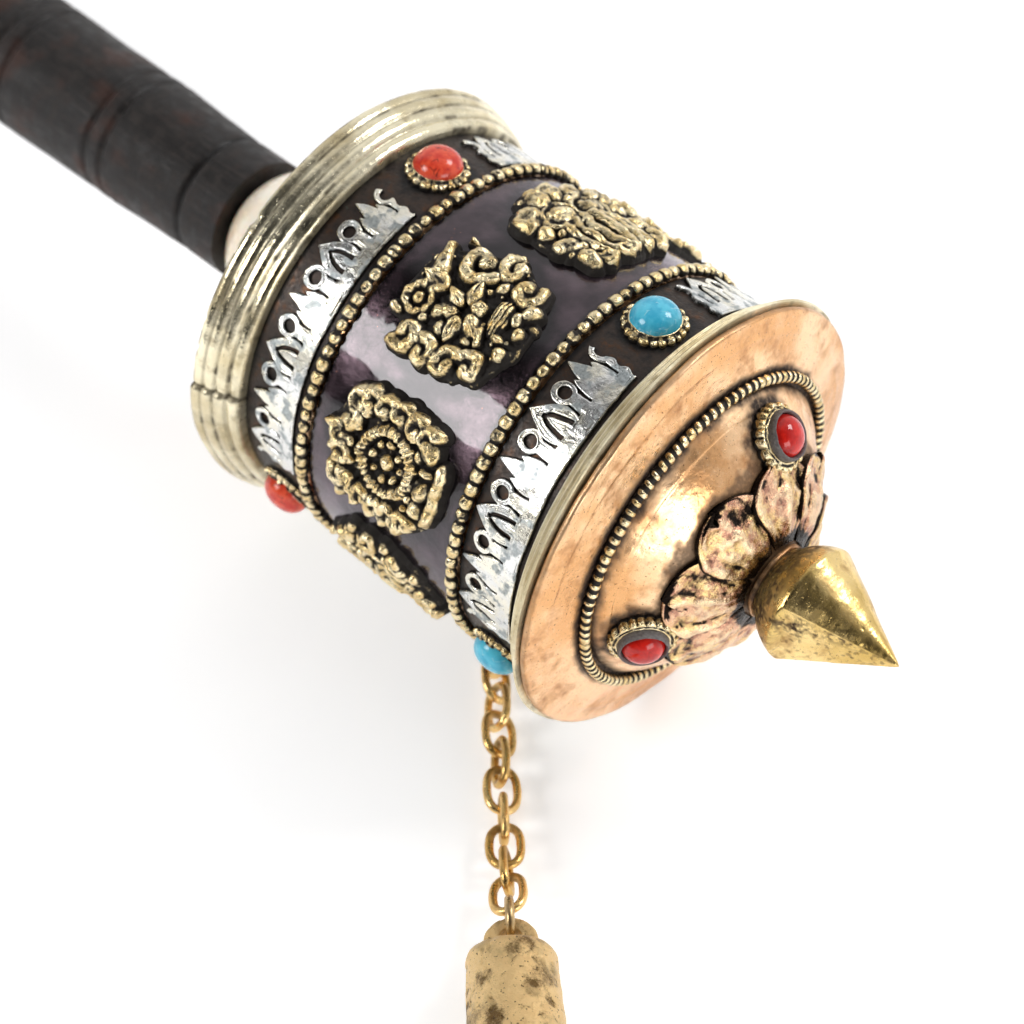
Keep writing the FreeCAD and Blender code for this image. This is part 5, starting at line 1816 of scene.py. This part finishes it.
def direction(azimuth, elevation):
    a, e = math.radians(azimuth), math.radians(elevation)
    return Vector((math.sin(a) * math.cos(e), -math.cos(a) * math.cos(e), math.sin(e)))


def make_floor(level):
    """A broad sheet of white paper with the slightest tooth."""
    line = np.linspace(-FLOOR_HALF, FLOOR_HALF, FLOOR_ROWS)
    x, y = np.meshgrid(line, line, indexing="ij")
    points = flat_points(x, y, level).reshape(-1, 3) * MM
    mesh = bpy.data.meshes.new("floor")
    mesh.from_pydata(points.tolist(), [], grid_faces(FLOOR_ROWS, FLOOR_ROWS, False, False))
    f = Finish("floor_paper")
    tooth = f.noise(0.8, 4)
    colour = f.colours(f.noise(60, 2), (0.3, (0.78, 0.78, 0.785)), (0.7, (0.82, 0.82, 0.82)))
    mesh.materials.append(f.finish(colour, 0.7, 0, f.bump(tooth, 0.02), Emission_Color=colour,
                                   Emission_Strength=FLOOR_GLOW))
    linked("floor", mesh)


def make_world():
    """A white tent that is dark towards the camera, with a black flag round the left softbox."""
    world = bpy.data.worlds.new("tent")
    world.use_nodes = True
    bpy.context.scene.world = world
    nodes, links = world.node_tree.nodes, world.node_tree.links
    place = nodes.new("ShaderNodeTexCoord").outputs["Generated"]

    def nearness(axis):
        """1 straight along the axis, 0 square to it."""
        product = nodes.new("ShaderNodeVectorMath")
        product.operation = "DOT_PRODUCT"
        links.new(place, product.inputs[0])
        product.inputs[1].default_value = axis
        return product.outputs["Value"]

    ramp = nodes.new("ShaderNodeValToRGB")
    links.new(nearness(direction(VIEW_AZIMUTH, VIEW_ELEVATION)), ramp.inputs["Fac"])
    stops = [(0.0, (0.92, 0.92, 0.92)), (0.45, (0.78, 0.78, 0.79)), (0.72, (0.42, 0.42, 0.43)),
             (0.88, (0.13, 0.13, 0.13)), (1.0, (0.04, 0.04, 0.04))]
    elements = ramp.color_ramp.elements
    while len(elements) < len(stops):
        elements.new(0.5)
    for element, (position, colour) in zip(elements, stops):
        element.position, element.color = position, (*colour, 1)
    flag = nodes.new("ShaderNodeMapRange")
    flag.inputs["From Min"].default_value, flag.inputs["From Max"].default_value = 0.62, 0.82
    flag.inputs["To Min"].default_value, flag.inputs["To Max"].default_value = 1.0, 0.05
    links.new(nearness(Vector(LEFT_LIGHT).normalized()), flag.inputs["Value"])
    background = nodes["Background"]
    links.new(flag.outputs["Result"], background.inputs["Strength"])
    links.new(ramp.outputs["Color"], background.inputs["Color"])


def add_softbox(name, centre, toward, size, power):
    light = bpy.data.lights.new(name, "AREA")
    light.shape = "RECTANGLE"
    light.size, light.size_y = size[0] * MM, size[1] * MM
    light.energy = power
    lamp = linked(name, light)
    lamp.location = (centre + Vector(toward).normalized() * SOFTBOX_REACH) * MM
    lamp.rotation_euler = (-Vector(toward)).to_track_quat("-Z", "Y").to_euler()


def make_camera(centre, focus):
    data = bpy.data.cameras.new("camera")
    data.lens, data.sensor_width = LENS, 36.0
    data.clip_start, data.clip_end = 0.01, 20.0
    camera = linked("camera", data)
    aim = centre + Vector(VIEW_AIM)
    back = direction(VIEW_AZIMUTH, VIEW_ELEVATION)
    camera.location = (aim + back * VIEW_DISTANCE) * MM
    camera.rotation_euler = (-back).to_track_quat("-Z", "Y").to_euler()
    target = linked("focus", None)
    target.location = focus * MM
    data.dof.use_dof = True
    data.dof.focus_object = target
    data.dof.aperture_fstop = 22.0
    bpy.context.scene.camera = camera


def make_studio():
    centre = Vector(((LACQUER[0] + LACQUER[1]) / 2, 0, 0))
    make_floor((CAD_BOX[0] / MM).z - 0.02)
    make_world()
    for name, placing in SOFTBOXES.items():
        add_softbox(name, centre, *placing)
    upper = stations("upper_band")
    focus = about_axis((upper[0] + upper[1]) / 2, upper[2], math.radians(FOCUS_TURN))
    make_camera(centre, Vector(focus))
    settings = bpy.context.scene.view_settings
    settings.view_transform = "Standard"
    settings.look = "None"


def main():
    make_handle()
    make_ball()
    make_drum_floor()
    make_lower_rim()
    make_upper_rim()
    make_band("lower_band", "lower_corals")
    make_band("upper_band", "turquoise_stones")
    make_lacquer_sheet()
    make_bead_wire("lower_bead_wire", 93, 41)
    make_bead_wire("upper_bead_wire", 93, 43)
    make_fretwork("lower_fretwork", "lower_band", 201, 1.2)
    make_fretwork("upper_fretwork", "upper_band", 211, 0.0)
    make_medallions()
    make_bezels("lower_bezel", "lower_bezels", 20, 61, 0.40, 0.62)
    make_bezels("upper_bezel", "upper_bezels", 20, 63, 0.40, 0.62)
    make_bezels("lid_bezel", "lid_bezels", 20, 65, 0.62, 0.60)
    make_stones("coral", "lower_corals", 71)
    make_stones("turquoise", "turquoise_stones", 73)
    make_stones("lid_coral", "lid_corals", 75)
    make_pitch_rings()
    make_lid_brim()
    make_lid_dome()
    make_rope_ring()
    make_rosette()
    make_neck_collar()
    make_finial()
    make_paper_roll()
    make_ties()
    make_links()
    make_weight()
    finish_cad_nodes()
    make_studio()


main()
